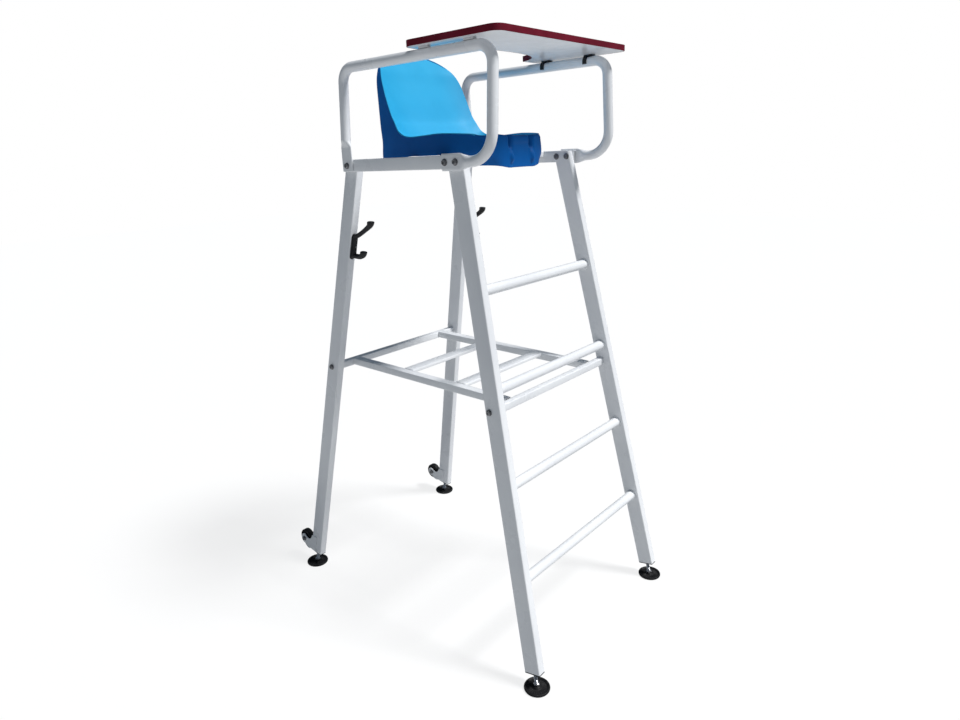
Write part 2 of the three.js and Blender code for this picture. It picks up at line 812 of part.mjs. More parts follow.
// A snap clip open at the bottom, under a base plate that is screwed to the board
function makeClip(y, tag) {
  const bore = hoopDiameter / 2 + gap;
  const outer = bore + clipThick;
  const up = Math.PI / 2;
  const shape = new THREE.Shape();
  shape.absarc(0, 0, outer, up - clipHalfWrap, up + clipHalfWrap);
  shape.absarc(0, 0, bore, up + clipHalfWrap, up - clipHalfWrap, true);
  shape.closePath();
  const strap = extrude(shape, clipWidth, clipSteps);
  strap.rotateX(Math.PI / 2);
  strap.translate(hoopTopX, y + clipWidth / 2, hoopHeight);
  const baseTop = deskUnderside - gap;
  const baseLow = hoopHeight + bore + gap;
  const base = new THREE.BoxGeometry(clipBaseWidth, clipBaseLength, baseTop - baseLow);
  base.translate(hoopTopX, y + clipWidth / 2 - clipBaseLength / 2, (baseTop + baseLow) / 2);
  addPiece(`desk_clip_${tag}`, join([strap, base]), 'black', seatUnit);
}

function makeRestPad(y, tag) {
  const pad = extrude(boxSection(padWidth, padLength, padCorner), padThick);
  pad.translate(-hoopTopX, y, hoopHeight + hoopDiameter / 2 + gap);
  addPiece(`desk_rest_pad_${tag}`, pad, 'desk', seatUnit);
}

function legDirection(leg, sign) {
  return new THREE.Vector3(sign * leanX(leg), leanY(leg), 1).normalize();
}

// A round bar on the leg's own line between two heights
function barOnLeg(leg, sign, fromZ, toZ, diameter) {
  const from = legAt(leg, fromZ);
  const to = legAt(leg, toZ);
  const start = new THREE.Vector3(sign * from.x, from.y, fromZ);
  const end = new THREE.Vector3(sign * to.x, to.y, toZ);
  const bar = new THREE.CylinderGeometry(diameter / 2, diameter / 2, start.distanceTo(end), boltSides);
  const turn = new THREE.Quaternion().setFromUnitVectors(new THREE.Vector3(0, 1, 0), legDirection(leg, sign));
  bar.applyQuaternion(turn);
  const middle = start.lerp(end, 1 / 2);
  return bar.translate(middle.x, middle.y, middle.z);
}

function makePlug(leg, side) {
  const slack = 2 * (legWall + gap);
  const stemShape = boxSection(legThick - slack, legDepth - slack, legCorner - legWall / 2);
  const stem = alongLeg(extrude(stemShape, plugDepth), leg, side.sign, (offset, z) => {
    return legEndAt(leg, offset) + z - plugFlange / 2;
  });
  const flange = alongLeg(extrude(boxSection(legThick, legDepth, legCorner), plugFlange), leg, side.sign,
    (offset, z) => legEndAt(leg, offset) + z - plugFlange - gap);
  const end = legEndHeight + plugDepth + overrun + legDepth;
  const hole = barOnLeg(leg, side.sign, 0, end, spindleDiameter + 2 * gap);
  addPiece(`leg_plug_${leg.tag}_${side.tag}`, cut(join([stem, flange]), [hole]), 'black');
}

// A dished pad with a raised rim and a hub that holds the spindle
function makeFoot(leg, side) {
  const radius = padDiameter / 2;
  const hub = padHubDiameter / 2;
  const outline = [
    [0, 0], [radius - padRimRound, 0], [radius, padRimRound], [radius, padHeight - padRimRound],
    [radius - padRimRound, padHeight], [radius - padRimWidth, padHeight],
    [radius - padRimWidth - padRimRound, padFloor], [hub + padRimRound, padFloor],
    [hub, padFloor + padRimRound], [hub - padRimRound, padHubHeight], [0, padHubHeight],
  ];
  const pad = new THREE.LatheGeometry(outline.map(([r, z]) => new THREE.Vector2(r, z)), footSides);
  pad.rotateX(Math.PI / 2);
  const at = legAt(leg, spindleStart);
  pad.translate(side.sign * at.x, at.y, 0);
  const spindle = barOnLeg(leg, side.sign, spindleStart, legEndHeight + spindleReach, spindleDiameter);
  addPiece(`levelling_foot_${leg.tag}_${side.tag}`, join([pad, spindle]), 'black');
}

function wheelX(side) {
  return side.sign * legAt(rearLeg, axleHeight).x;
}

function makeWheel(side) {
  const half = wheelWidth / 2 - gap;
  const bore = axleDiameter / 2 + gap;
  const outline = [
    [bore, -half], [wheelHub / 2, -half], [wheelHub / 2, -wheelWeb / 2], [wheelRim / 2, -wheelWeb / 2],
    [wheelRim / 2, -half], [wheelDiameter / 2 - wheelChamfer, -half],
    [wheelDiameter / 2, -half + wheelChamfer], [wheelDiameter / 2, half - wheelChamfer],
    [wheelDiameter / 2 - wheelChamfer, half], [wheelRim / 2, half], [wheelRim / 2, wheelWeb / 2],
    [wheelHub / 2, wheelWeb / 2], [wheelHub / 2, half], [bore, half], [bore, -half],
  ].map(([radius, along]) => new THREE.Vector2(radius, along));
  const wheel = new THREE.LatheGeometry(outline, wheelSides);
  wheel.rotateZ(Math.PI / 2);
  wheel.translate(wheelX(side), axleY, axleHeight);
  addPiece(`transport_wheel_${side.tag}`, wheel, 'black');
}

const cheekInner = legThick / 2 + gap;

function makeAxle(side) {
  const outer = cheekInner + cheekThick + gap - leanX(rearLeg) * axleHeadDiameter / 2;
  const shank = axleDiameter / 2;
  const head = axleHeadDiameter / 2;
  const outline = [
    [0, -outer - axleHeadThick], [head, -outer - axleHeadThick], [head, -outer], [shank, -outer],
    [shank, outer], [head, outer], [head, outer + axleHeadThick], [0, outer + axleHeadThick],
  ].map(([radius, along]) => new THREE.Vector2(radius, along));
  const axle = new THREE.LatheGeometry(outline, boltSides);
  axle.rotateZ(Math.PI / 2);
  axle.translate(wheelX(side), axleY, axleHeight);
  addPiece(`wheel_axle_${side.tag}`, axle, 'bolt');
}

// A cheek from the leg's side face back to the eye round the axle, drawn along Y and Z
function cheekOutline() {
  const legRear = (z) => legAt(rearLeg, z).y + legDepth / 2 * sectionStretch(rearLeg);
  const foot = legEndAt(rearLeg, 0);
  const top = axleHeight + cheekTopRise;
  const shape = new THREE.Shape();
  shape.moveTo(legAt(rearLeg, foot).y, foot);
  shape.lineTo(legRear(foot), legEndAt(rearLeg, legDepth / 2));
  shape.quadraticCurveTo(axleY - cheekEye, axleHeight - cheekPullDrop, axleY, axleHeight - cheekEye);
  shape.absarc(axleY, axleHeight, cheekEye, -Math.PI / 2, Math.PI / 2);
  shape.quadraticCurveTo(legRear(axleHeight) + cheekEye / 2, axleHeight - cheekEye / 2, legRear(top), top);
  shape.lineTo(legAt(rearLeg, top).y, top);
  shape.closePath();
  return shape;
}

function makeBracket(side) {
  const middle = wheelX(side);
  const cheeks = sides.map((face) => {
    const cheek = extrude(cheekOutline(), cheekThick, cheekSteps);
    return remap(cheek, (y, z, t) => ({
      x: side.sign * legAt(rearLeg, z).x + face.sign * (cheekInner + t), y, z,
    }));
  });
  const rear = legDepth / 2 * sectionStretch(rearLeg) + gap;
  const low = legEndAt(rearLeg, legDepth / 2);
  const webTop = axleHeight + cheekEye;
  const web = remap(extrude(boxSection(2 * cheekInner + cheekThick, cheekThick, gap), 1), (x, y, t) => {
    const z = t > 0 ? webTop : low;
    const at = legAt(rearLeg, z);
    return { x: side.sign * at.x + x, y: at.y + rear + cheekThick / 2 + y, z };
  });
  const hole = barAlongX(middle - legThick, middle + legThick, axleY, axleHeight, axleDiameter + 2 * gap);
  addPiece(`wheel_bracket_${side.tag}`, cut(join([...cheeks, web]), [hole]), 'paint');
}

// A prong: a round rod along a curve through shares of its reach and height, up to its round tip
function prong(shares, reach, height, tipHeight) {
  const tipAt = new THREE.Vector3(0, hookTip / 2 - reach, tipHeight - hookTip / 2);
  const points = shares.map(([out, up]) => new THREE.Vector3(0, -out * reach, up * height));
  const path = new THREE.CatmullRomCurve3([...points, tipAt]);
  const section = new THREE.Shape();
  section.absarc(0, 0, hookRod / 2, 0, 2 * Math.PI);
  const rod = new THREE.ExtrudeGeometry(section, {
    extrudePath: path, steps: hookSteps, curveSegments: hookRoundSteps, bevelEnabled: false,
  });
  const tip = new THREE.SphereGeometry(hookTip / 2, hookSides, hookSides / 2);
  tip.translate(tipAt.x, tipAt.y, tipAt.z);
  return [rod, tip];
}

function makeHook(side) {
  const plate = extrude(boxSection(hookPlateWidth, hookPlateTall, hookPlateWidth / 2 - gap), hookPlateThick);
  plate.rotateX(Math.PI / 2);
  const upper = prong(upperProngShares, upperReach, upperRise, upperRise);
  const lower = prong(lowerProngShares, lowerReach, -lowerDrop, -lowerTipDrop);
  const behind = new THREE.BoxGeometry(2 * hookPlateWidth, 2 * hookPlateWidth, 2 * hookPlateTall);
  behind.translate(0, hookPlateWidth, 0);
  const shape = cut(join([plate, ...upper, ...lower]), [behind]);
  const face = legDepth / 2 * sectionStretch(rearLeg) + gap;
  remap(shape, (x, y, z) => {
    const at = legAt(rearLeg, hookHeight + z);
    return { x: side.sign * at.x + x, y: at.y - face + y, z: hookHeight + z };
  });
  addPiece(`coat_hook_${side.tag}`, shape, 'black');
}

makeRungs();
makeShelf();
for (const side of sides) {
  for (const leg of [frontLeg, rearLeg]) {
    makeLeg(leg, side);
    makePlug(leg, side);
    makeFoot(leg, side);
  }
  makeRail(side);
  makeHoop(side);
  makeRailBolts(side);
  makeShelfBolts(side);
  makeBracket(side);
  makeWheel(side);
  makeAxle(side);
  makeHook(side);
}
makeCarriers();
makeSeat();
makeSeatBolts();
makeDesk();
clipYs.forEach((y, i) => {
  const tag = i === 0 ? 'front' : 'rear';
  makeClip(y, tag);
  makeRestPad(y, tag);
});

// The origin is the middle of the footprint, from the front pads to the rear of the wheels
const footprintFront = legAt(frontLeg, spindleStart).y - padDiameter / 2;
const footprintRear = axleY + wheelDiameter / 2;
chair.position.y = -(footprintFront + footprintRear) / 2;

export default chair;
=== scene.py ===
"""Looks of the umpire chair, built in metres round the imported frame.

+Z is up, +X across and the ladder faces -Y. Right and left are the sitter's: right is -X.
"""
import math

import bpy
import numpy as np
from mathutils import Matrix, Vector


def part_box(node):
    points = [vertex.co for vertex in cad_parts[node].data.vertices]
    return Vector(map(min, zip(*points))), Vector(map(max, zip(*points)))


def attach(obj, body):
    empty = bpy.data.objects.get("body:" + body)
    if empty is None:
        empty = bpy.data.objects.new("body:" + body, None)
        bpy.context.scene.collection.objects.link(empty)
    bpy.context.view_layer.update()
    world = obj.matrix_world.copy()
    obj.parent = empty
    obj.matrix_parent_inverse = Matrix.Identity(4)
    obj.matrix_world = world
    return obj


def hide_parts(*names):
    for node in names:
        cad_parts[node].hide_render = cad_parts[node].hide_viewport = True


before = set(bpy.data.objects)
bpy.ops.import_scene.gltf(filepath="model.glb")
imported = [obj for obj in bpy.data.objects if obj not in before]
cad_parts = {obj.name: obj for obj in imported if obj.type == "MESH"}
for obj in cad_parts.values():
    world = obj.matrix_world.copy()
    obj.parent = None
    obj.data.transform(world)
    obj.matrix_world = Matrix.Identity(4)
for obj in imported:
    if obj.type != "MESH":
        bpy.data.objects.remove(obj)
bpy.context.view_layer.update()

# The origin is mid footprint. The seat unit lies at MID_Y and RAIL_MID, and its rails fall towards the rear.
MID_Y = -0.0263
RAIL_MID = 1.631037
RAIL_FALL = 0.0139
RAIL_RUN = 0.53
UNIT_TILT = math.atan(-RAIL_FALL / RAIL_RUN)
UNIT = Matrix.Translation((0, MID_Y, RAIL_MID)) @ Matrix.Rotation(UNIT_TILT, 4, "X")
GAP = 0.0003
TUBE_WALL = 0.002

# Legs of the +X side: where each one's middle line meets the floor and the head height, with y from MID_Y
HEAD = 1.554
LEG_LINES = {"front": ((0.392, -0.573), (0.288, -0.2174)), "rear": ((0.3968, 0.573), (0.288, 0.2853))}
LEGS = {leg: tuple((x, y + MID_Y) for x, y in line) for leg, line in LEG_LINES.items()}
LEG_DEPTH = 0.060
LEG_THICK = 0.030
LEG_CORNER = 0.004
LEG_END = 0.058
LEG_TOP_INSET = 0.002
RAIL_TALL = 0.040
RAIL_THICK = 0.013
RAIL_FRONT = -0.2297
RAIL_REAR = 0.295
SIDES = {"right": -1, "left": 1}


def leg_at(leg, z):
    """The middle of a leg as (x, y) at a height."""
    (foot_x, foot_y), (head_x, head_y) = LEGS[leg]
    return foot_x + (head_x - foot_x) * z / HEAD, foot_y + (head_y - foot_y) * z / HEAD


def leg_lean(leg):
    """How far a leg moves across and along for each unit of height."""
    (foot_x, foot_y), (head_x, head_y) = LEGS[leg]
    return (head_x - foot_x) / HEAD, (head_y - foot_y) / HEAD


# Half of a rear leg's depth, as its faces lie along Y
REAR_HALF = LEG_DEPTH / 2 * math.hypot(1, leg_lean("rear")[1])


def middle(node):
    """The middle of a frame node's box."""
    low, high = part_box(node)
    return (low + high) / 2


def linked(name, data):
    """A new object in the scene."""
    obj = bpy.data.objects.new(name, data)
    bpy.context.scene.collection.objects.link(obj)
    return obj


# Camera: the photograph's view
CAMERA_PLACE = (-1.8565, -1.6368, 1.6896)
CAMERA_YAW = math.radians(-49.507)
CAMERA_PITCH = math.radians(-17.647)
CAMERA_ROLL = math.radians(-1.276)
CAMERA_LENS = 25.634
CAMERA_SENSOR = 36


def make_camera():
    data = bpy.data.cameras.new("camera")
    data.lens = CAMERA_LENS
    data.sensor_width = CAMERA_SENSOR
    camera = linked("camera", data)
    turn = Matrix.Rotation(CAMERA_YAW, 4, "Z") @ Matrix.Rotation(math.pi / 2 + CAMERA_PITCH, 4, "X")
    camera.matrix_world = Matrix.Translation(CAMERA_PLACE) @ turn @ Matrix.Rotation(CAMERA_ROLL, 4, "Z")
    bpy.context.scene.camera = camera


# Materials

DRIFT_DETAIL = 3.0
PATCH_DETAIL = 4.0
GRAIN_DETAIL = 2.0
PATCHES_PER_CLOUD = 3
GRAIN_DEPTH = 0.0003
RAMP_PLACES = (0.35, 0.65)


def new_material(name):
    material = bpy.data.materials.new(name)
    material.use_nodes = True
    return material, material.node_tree.nodes, material.node_tree.links


def noise(nodes, links, scale, detail):
    coords = nodes.new("ShaderNodeTexCoord")
    texture = nodes.new("ShaderNodeTexNoise")
    texture.inputs["Scale"].default_value = scale
    texture.inputs["Detail"].default_value = detail
    links.new(coords.outputs["Object"], texture.inputs["Vector"])
    return texture.outputs["Fac"]


def ramp(nodes, links, value, *colours):
    """Two colours that blend over the middle of a value's range."""
    node = nodes.new("ShaderNodeValToRGB")
    for element, place, colour in zip(node.color_ramp.elements, RAMP_PLACES, colours):
        element.position = place
        element.color = colour
    links.new(value, node.inputs["Fac"])
    return node.outputs["Color"]


def grey(value):
    return (value, value, value, 1)


def surface(name, low, high, rough, cloud, grain, bump, **sockets):
    """A finish whose colour drifts between two shades, with its own gloss patches and fine relief."""
    material, nodes, links = new_material(name)
    shader = nodes["Principled BSDF"]
    for socket, value in sockets.items():
        shader.inputs[socket.replace("_", " ")].default_value = value
    drift = noise(nodes, links, cloud, DRIFT_DETAIL)
    links.new(ramp(nodes, links, drift, (*low, 1), (*high, 1)), shader.inputs["Base Color"])
    patches = noise(nodes, links, cloud * PATCHES_PER_CLOUD, PATCH_DETAIL)
    links.new(ramp(nodes, links, patches, grey(rough[0]), grey(rough[1])), shader.inputs["Roughness"])
    relief = nodes.new("ShaderNodeBump")
    relief.inputs["Strength"].default_value = bump
    relief.inputs["Distance"].default_value = GRAIN_DEPTH
    links.new(noise(nodes, links, grain, GRAIN_DETAIL), relief.inputs["Height"])
    links.new(relief.outputs["Normal"], shader.inputs["Normal"])
    return material


PAINT = surface("white_paint", (0.80, 0.81, 0.83), (0.87, 0.88, 0.89), rough=(0.26, 0.36), cloud=4.0,
                grain=900.0, bump=0.12, Coat_Weight=0.25, Coat_Roughness=0.12)
SEAT = surface("seat_blue", (0.022, 0.385, 0.690), (0.030, 0.430, 0.750), rough=(0.46, 0.60), cloud=5.0,
               grain=1400.0, bump=0.10, Specular_IOR_Level=0.25)
# A darker copy of the seat blue: painted shade for the skirt, the rolled front edge and the shell's back and
# edges
SEAT_PAINTED_SHADE = surface("seat_blue_painted_shade", (0.001, 0.095, 0.360), (0.002, 0.120, 0.430), rough=(0.42, 0.56),
                    cloud=5.0, grain=1400.0, bump=0.10, Specular_IOR_Level=0.15)
BOARD = surface("desk_laminate", (0.76, 0.77, 0.79), (0.81, 0.82, 0.84), rough=(0.13, 0.20), cloud=9.0,
                grain=1600.0, bump=0.08)
EDGING = surface("dark_red_edging", (0.130, 0.005, 0.016), (0.175, 0.008, 0.024), rough=(0.45, 0.6),
                 cloud=14.0, grain=1100.0, bump=0.08, Specular_IOR_Level=0.15)
BLACK = surface("black_plastic", (0.007, 0.007, 0.008), (0.013, 0.013, 0.015), rough=(0.38, 0.55),
                cloud=30.0, grain=1500.0, bump=0.15, Specular_IOR_Level=0.35)
RUBBER = surface("black_rubber", (0.005, 0.005, 0.006), (0.012, 0.012, 0.013), rough=(0.50, 0.70),
                 cloud=40.0, grain=1200.0, bump=0.2, Specular_IOR_Level=0.25)
STEEL = surface("dull_steel", (0.16, 0.16, 0.165), (0.30, 0.30, 0.31), rough=(0.30, 0.5), cloud=60.0,
                grain=1800.0, bump=0.15, Metallic=0.9)
ZINC = surface("bright_zinc", (0.55, 0.55, 0.57), (0.72, 0.72, 0.74), rough=(0.22, 0.35), cloud=80.0,
               grain=1800.0, bump=0.1, Metallic=0.9)
WHITE = surface("white_bumper", (0.70, 0.70, 0.72), (0.78, 0.78, 0.80), rough=(0.45, 0.6), cloud=30.0,
                grain=1500.0, bump=0.1)
SLOTS = {PAINT: "paint", SEAT: "seat", BOARD: "desk", EDGING: "edging", BLACK: "black_plastic",
         RUBBER: "pad_rubber", STEEL: "bolt_steel", ZINC: "bolt_steel", WHITE: "rest_pads"}


# Mesh making: angles in degrees from which an edge shows as sharp, then widths of rounded edges

CREASE = 40.0
CREASE_FLATS = 30.0
CREASE_PAD = 50.0
CREASE_ROUND = 60.0
CREASE_NONE = 180.0
FINE_EDGE = 0.0004
PLUG_EDGE = 0.0005
PLATE_EDGE = 0.0006
SOFT_EDGE = 0.0008
EDGE_STEPS = 3
CORNER_STEPS = 4


def piece(name, verts, faces, material, body="frame", stands_for=(), crease=CREASE, bevel=0, slot=None):
    """An object from points and faces that rides on a body and may stand for frame nodes."""
    mesh = bpy.data.meshes.new(name)
    mesh.from_pydata([tuple(v) for v in verts], [], faces)
    mesh.validate()
    mesh.shade_smooth()
    mesh.set_sharp_from_angle(angle=math.radians(crease))
    mesh.materials.append(material)
    obj = linked(name, mesh)
    if bevel:
        modify(obj, "BEVEL", width=bevel, segments=EDGE_STEPS, limit_method="ANGLE",
               angle_limit=math.radians(CREASE), harden_normals=True)
    slot or SLOTS[material]
    if stands_for:
        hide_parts(*stands_for)
    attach(obj, body)
    return obj


def modify(obj, kind, **settings):
    """A modifier with its settings."""
    modifier = obj.modifiers.new(kind.lower(), kind)
    for key, value in settings.items():
        setattr(modifier, key, value)


def loft(rings, closed=False):
    """Faces through equal rings of points: capped at both ends, or joined end to end."""
    count = len(rings[0])
    verts = [point for points in rings for point in points]
    faces = []
    total = len(rings)
    for r in range(total if closed else total - 1):
        a, b = r * count, (r + 1) % total * count
        for i in range(count):
            j = (i + 1) % count
            faces.append((a + i, a + j, b + j, b + i))
    if not closed:
        faces.append(tuple(range(count))[::-1])
        faces.append(tuple(range(count * (total - 1), count * total)))
    return verts, faces


def merged(parts):
    """Several point-and-face sets as one."""
    verts, faces = [], []
    for more_verts, more_faces in parts:
        start = len(verts)
        verts.extend(more_verts)
        faces.extend(tuple(i + start for i in face) for face in more_faces)
    return verts, faces


def moved(part, matrix):
    verts, faces = part
    return [matrix @ Vector(v) for v in verts], faces


def flipped(faces):
    return [face[::-1] for face in faces]


def even_steps(count):
    """Even steps from 0 to 1."""
    return [i / count for i in range(count + 1)]


def rounded_outline(width, height, radius, steps=CORNER_STEPS):
    """Points of a rectangle with round corners, anticlockwise."""
    points = []
    for k, (sx, sy) in enumerate(((1, 1), (-1, 1), (-1, -1), (1, -1))):
        for t in even_steps(steps):
            turn = math.pi / 2 * (k + t)
            points.append((sx * (width / 2 - radius) + radius * math.cos(turn),
                           sy * (height / 2 - radius) + radius * math.sin(turn)))
    return points


def circle(radius, count):
    turns = [2 * math.pi * i / count for i in range(count)]
    return [(radius * math.cos(turn), radius * math.sin(turn)) for turn in turns]


def level_rings(profile, count):
    return [[(x, y, z) for x, y in circle(radius, count)] for radius, z in profile]


def lathe(profile, count, closed=False):
    """A turned solid about Z from (radius, height) points."""
    return loft(level_rings(profile, count), closed)


def smooth_step(t):
    t = min(max(t, 0), 1)
    return t * t * (3 - 2 * t)


def spline(rows, steps):
    """A smooth curve through a few points, or through rows of sizes."""
    last = len(rows) - 1
    curve = []
    for i in range(last):
        before, start, stop, after = rows[max(i - 1, 0)], rows[i], rows[i + 1], rows[min(i + 2, last)]
        for k in range(steps):
            t = k / steps
            square = (2 * before - 5 * start + 4 * stop - after) * t ** 2
            cube = (3 * start - 3 * stop + after - before) * t ** 3
            curve.append((2 * start + (stop - before) * t + square + cube) / 2)
    curve.append(rows[last])
    return curve


def along_x(x, y, z, sign=1):
    """Turns a solid about Z so that its axis runs along X, outwards on that side."""
    return Matrix.Translation((x, y, z)) @ Matrix.Rotation(sign * math.pi / 2, 4, "Y")


def tube_between(outline, inner, ends):
    """An open tube: outer and inner outlines swept through the stations of a rule."""
    rings = [[place(u, v) for u, v in outline] for place in ends]
    rings += [[place(u, v) for u, v in inner] for place in reversed(ends)]
    return loft(rings, closed=True)


def shrink(outline, by):
    """The outline drawn in by a wall, towards the middle."""
    def drawn_in(value):
        return value - math.copysign(min(by, abs(value)), value)
    return [(drawn_in(u), drawn_in(v)) for u, v in outline]


# Frame of tubes

def tube_piece(node, part, **more):
    """The painted tube that stands for a frame node."""
    piece(f"{node}_tube", *part, PAINT, stands_for=[node], **more)


def rail_level(y):
    """The height of the rails' middle line."""
    return RAIL_MID + math.tan(UNIT_TILT) * (y - MID_Y)


def leg_place(leg, sign, rise):
    """A rule that puts a point of the leg's section on its line, at the height that rise gives."""
    stretch = math.hypot(1, leg_lean(leg)[1])

    def place(u, v):
        offset = v * stretch
        z = rise(offset)
        x, y = leg_at(leg, z)
        return Vector((sign * x + u, y + offset, z))
    return place


def leg_end(leg, offset, lift=0):
    """The height of the leg's lower end, cut square to its line."""
    lean = leg_lean(leg)[1]
    return LEG_END + lift - offset * lean / (1 + lean ** 2)


def leg_top(leg, offset):
    """The height of the leg's upper end, cut in line with the rails."""
    lean = leg_lean(leg)[1]
    level = rail_level(LEGS[leg][0][1] + offset) + RAIL_TALL / 2 - LEG_TOP_INSET
    return level / (1 - math.tan(UNIT_TILT) * lean)


def make_leg(leg, side):
    sign = SIDES[side]
    outline = rounded_outline(LEG_THICK, LEG_DEPTH, LEG_CORNER)
    ends = [leg_place(leg, sign, lambda offset: leg_end(leg, offset)),
            leg_place(leg, sign, lambda offset: leg_top(leg, offset))]
    part = tube_between(outline, shrink(outline, TUBE_WALL), ends)
    tube_piece(f"leg_{leg}_{side}", part, bevel=FINE_EDGE)


def leg_inner(leg, z):
    return leg_at(leg, z)[0] - LEG_THICK / 2


def make_cross_tube(node, leg, outline, inner):
    """A tube along X whose ends follow the legs' inner faces."""
    y, z = middle(node).yz

    def end(sign):
        return lambda u, v: Vector((sign * (leg_inner(leg, z + v) - GAP), y + u, z + v))
    part = tube_between(outline, inner, [end(-1), end(1)])
    tube_piece(node, part)


RUNGS = 4
RUNG_DIAMETER = 0.034
RUNG_SIDES = 32
WELD_SIZE = 0.004
# A weld's section, as shares of its size out from the tube and along it
WELD_SHARES = ((0, 0), (1, 0), (0.72, 0.45), (0.45, 0.72), (0, 1))


def weld_ring(outline, y, z, sign):
    """A small fillet of weld round a rung's outline where it meets the leg's inner face."""
    rings = []
    for out, along in WELD_SHARES:
        points = []
        for u, v in outline:
            length = math.hypot(u, v)
            scale = (length + WELD_SIZE * out - GAP) / length
            height = z + v * scale
            x = leg_inner("front", height) - GAP - WELD_SIZE * along
            points.append(Vector((sign * x, y + u * scale, height)))
        rings.append(points)
    return loft(rings, closed=True)


def make_rungs():
    outline = circle(RUNG_DIAMETER / 2, RUNG_SIDES)
    inner = circle(RUNG_DIAMETER / 2 - TUBE_WALL, RUNG_SIDES)
    for i in range(1, RUNGS + 1):
        node = f"rung_{i}"
        make_cross_tube(node, "front", outline, inner)
        for side, sign in SIDES.items():
            piece(f"{node}_weld_{side}", *weld_ring(outline, *middle(node).yz, sign), PAINT)


SHELF_BAR = 0.025
SHELF_BAR_CORNER = 0.003
SIDE_BAR_WIDTH = 0.032
SIDE_BAR_TALL = 0.026
SLATS = 3
SLAT_WIDTH = 0.045
SLAT_THICK = 0.012
SLAT_CORNER = 0.0025
SLAT_WALL = 0.0015


def straight_tube(node, outline, wall, axis):
    """An open tube that fills the node's box along one axis."""
    low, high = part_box(node)
    other = 1 - axis

    def end(at):
        def place(u, v):
            spot = middle(node)
            spot[other] += u
            spot.z += v
            spot[axis] = at
            return spot
        return place
    part = tube_between(outline, shrink(outline, wall), [end(low[axis]), end(high[axis])])
    tube_piece(node, part)


def make_shelf():
    bar = rounded_outline(SHELF_BAR, SHELF_BAR, SHELF_BAR_CORNER)
    for leg in LEGS:
        make_cross_tube(f"shelf_bar_{leg}", leg, bar, shrink(bar, TUBE_WALL))
    side_bar = rounded_outline(SIDE_BAR_WIDTH, SIDE_BAR_TALL, SHELF_BAR_CORNER)
    for side in SIDES:
        straight_tube(f"shelf_side_bar_{side}", side_bar, TUBE_WALL, 1)
    slat = rounded_outline(SLAT_WIDTH, SLAT_THICK, SLAT_CORNER)
    for i in range(1, SLATS + 1):
        straight_tube(f"shelf_slat_{i}", slat, SLAT_WALL, 0)


# Seat unit: rails, hoops, carriers. These are drawn level, and UNIT tilts and places them.

RAIL_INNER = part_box("seat_rail_left")[0].x
RAIL_CENTRE = RAIL_INNER + RAIL_THICK / 2
RAIL_CORNER = 0.0025
FLAT_THICK = 0.006
HOOP_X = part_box("seat_rail_left")[1].x + GAP + FLAT_THICK / 2
HOOP_RADIUS = 0.016
HOOP_SIDES = 36
HOOP_HEIGHT = 0.304
HOOP_FRONT = -0.360
HOOP_REAR = 0.270
UPPER_BEND = 0.048
LOWER_BEND = 0.080
FLAT_WIDTH = 0.050
FLAT_FRONT_END = -0.165
FLAT_FRONT_START = -0.2307
FLAT_REAR_TOP = 0.057
FLAT_REAR_FOOT = -0.018
FLATTEN_FRONT = 0.046
FLATTEN_REAR = 0.026
# A pressed end's face is flat where the cosine of the turn is beyond this
FLAT_SHARE = 0.6
BEND_STEPS = 14
FLATTEN_STEPS = 8
CARRIER_WIDTH = 0.040
CARRIER_TALL = 0.020
CARRIER_YS = {"front": -0.080, "rear": 0.050}


def unit_piece(name, part, material, **more):
    return piece(name, *moved(part, UNIT), material, **more)


def make_rail(side):
    sign = SIDES[side]
    outline = rounded_outline(RAIL_THICK, RAIL_TALL, RAIL_CORNER)
    ends = [lambda u, v, y=y: Vector((sign * RAIL_CENTRE + u, y, v)) for y in (RAIL_FRONT, RAIL_REAR)]
    part = tube_between(outline, shrink(outline, TUBE_WALL), ends)
    tube_piece(f"seat_rail_{side}", moved(part, UNIT))


def make_carrier(tag):
    y = CARRIER_YS[tag]
    outline = rounded_outline(CARRIER_WIDTH, CARRIER_TALL, RAIL_CORNER)
    reach = RAIL_INNER - GAP
    level = RAIL_TALL / 2 - CARRIER_TALL / 2
    ends = [lambda u, v, x=x: Vector((x, y + u, level + v)) for x in (-reach, reach)]
    part = tube_between(outline, shrink(outline, TUBE_WALL), ends)
    tube_piece(f"seat_carrier_{tag}", moved(part, UNIT))


def hoop_lean(z):
    """How far a hoop's posts lean inwards at a height, following the legs."""
    return -leg_lean("front")[0] * (min(max(z, FLAT_REAR_TOP), HOOP_HEIGHT - UPPER_BEND) - FLAT_REAR_TOP)


HOOP_TOP_X = HOOP_X - hoop_lean(HOOP_HEIGHT)


def hoop_stations():
    """Places along the hoop as (y, z, heading, how flat)."""
    def bend(y, z, radius, start, stop):
        for t in even_steps(BEND_STEPS):
            turn = start + (stop - start) * t
            yield (y + radius * math.cos(turn), z + radius * math.sin(turn), turn - math.pi / 2, 0)
    quarter = math.pi / 2
    top = HOOP_HEIGHT - UPPER_BEND
    stations = [(FLAT_FRONT_END, 0, math.pi, 1)]
    for t in even_steps(FLATTEN_STEPS):
        stations.append((FLAT_FRONT_START - FLATTEN_FRONT * t, 0, math.pi, 1 - smooth_step(t)))
    stations += list(bend(HOOP_FRONT + LOWER_BEND, LOWER_BEND, LOWER_BEND, -quarter, -2 * quarter))
    stations += list(bend(HOOP_FRONT + UPPER_BEND, top, UPPER_BEND, 2 * quarter, quarter))
    stations += list(bend(HOOP_REAR - UPPER_BEND, top, UPPER_BEND, quarter, 0))
    for t in even_steps(FLATTEN_STEPS):
        stations.append((HOOP_REAR, FLAT_REAR_TOP + FLATTEN_REAR * (1 - t), -quarter, smooth_step(t)))
    stations.append((HOOP_REAR, FLAT_REAR_FOOT, -quarter, 1))
    return stations


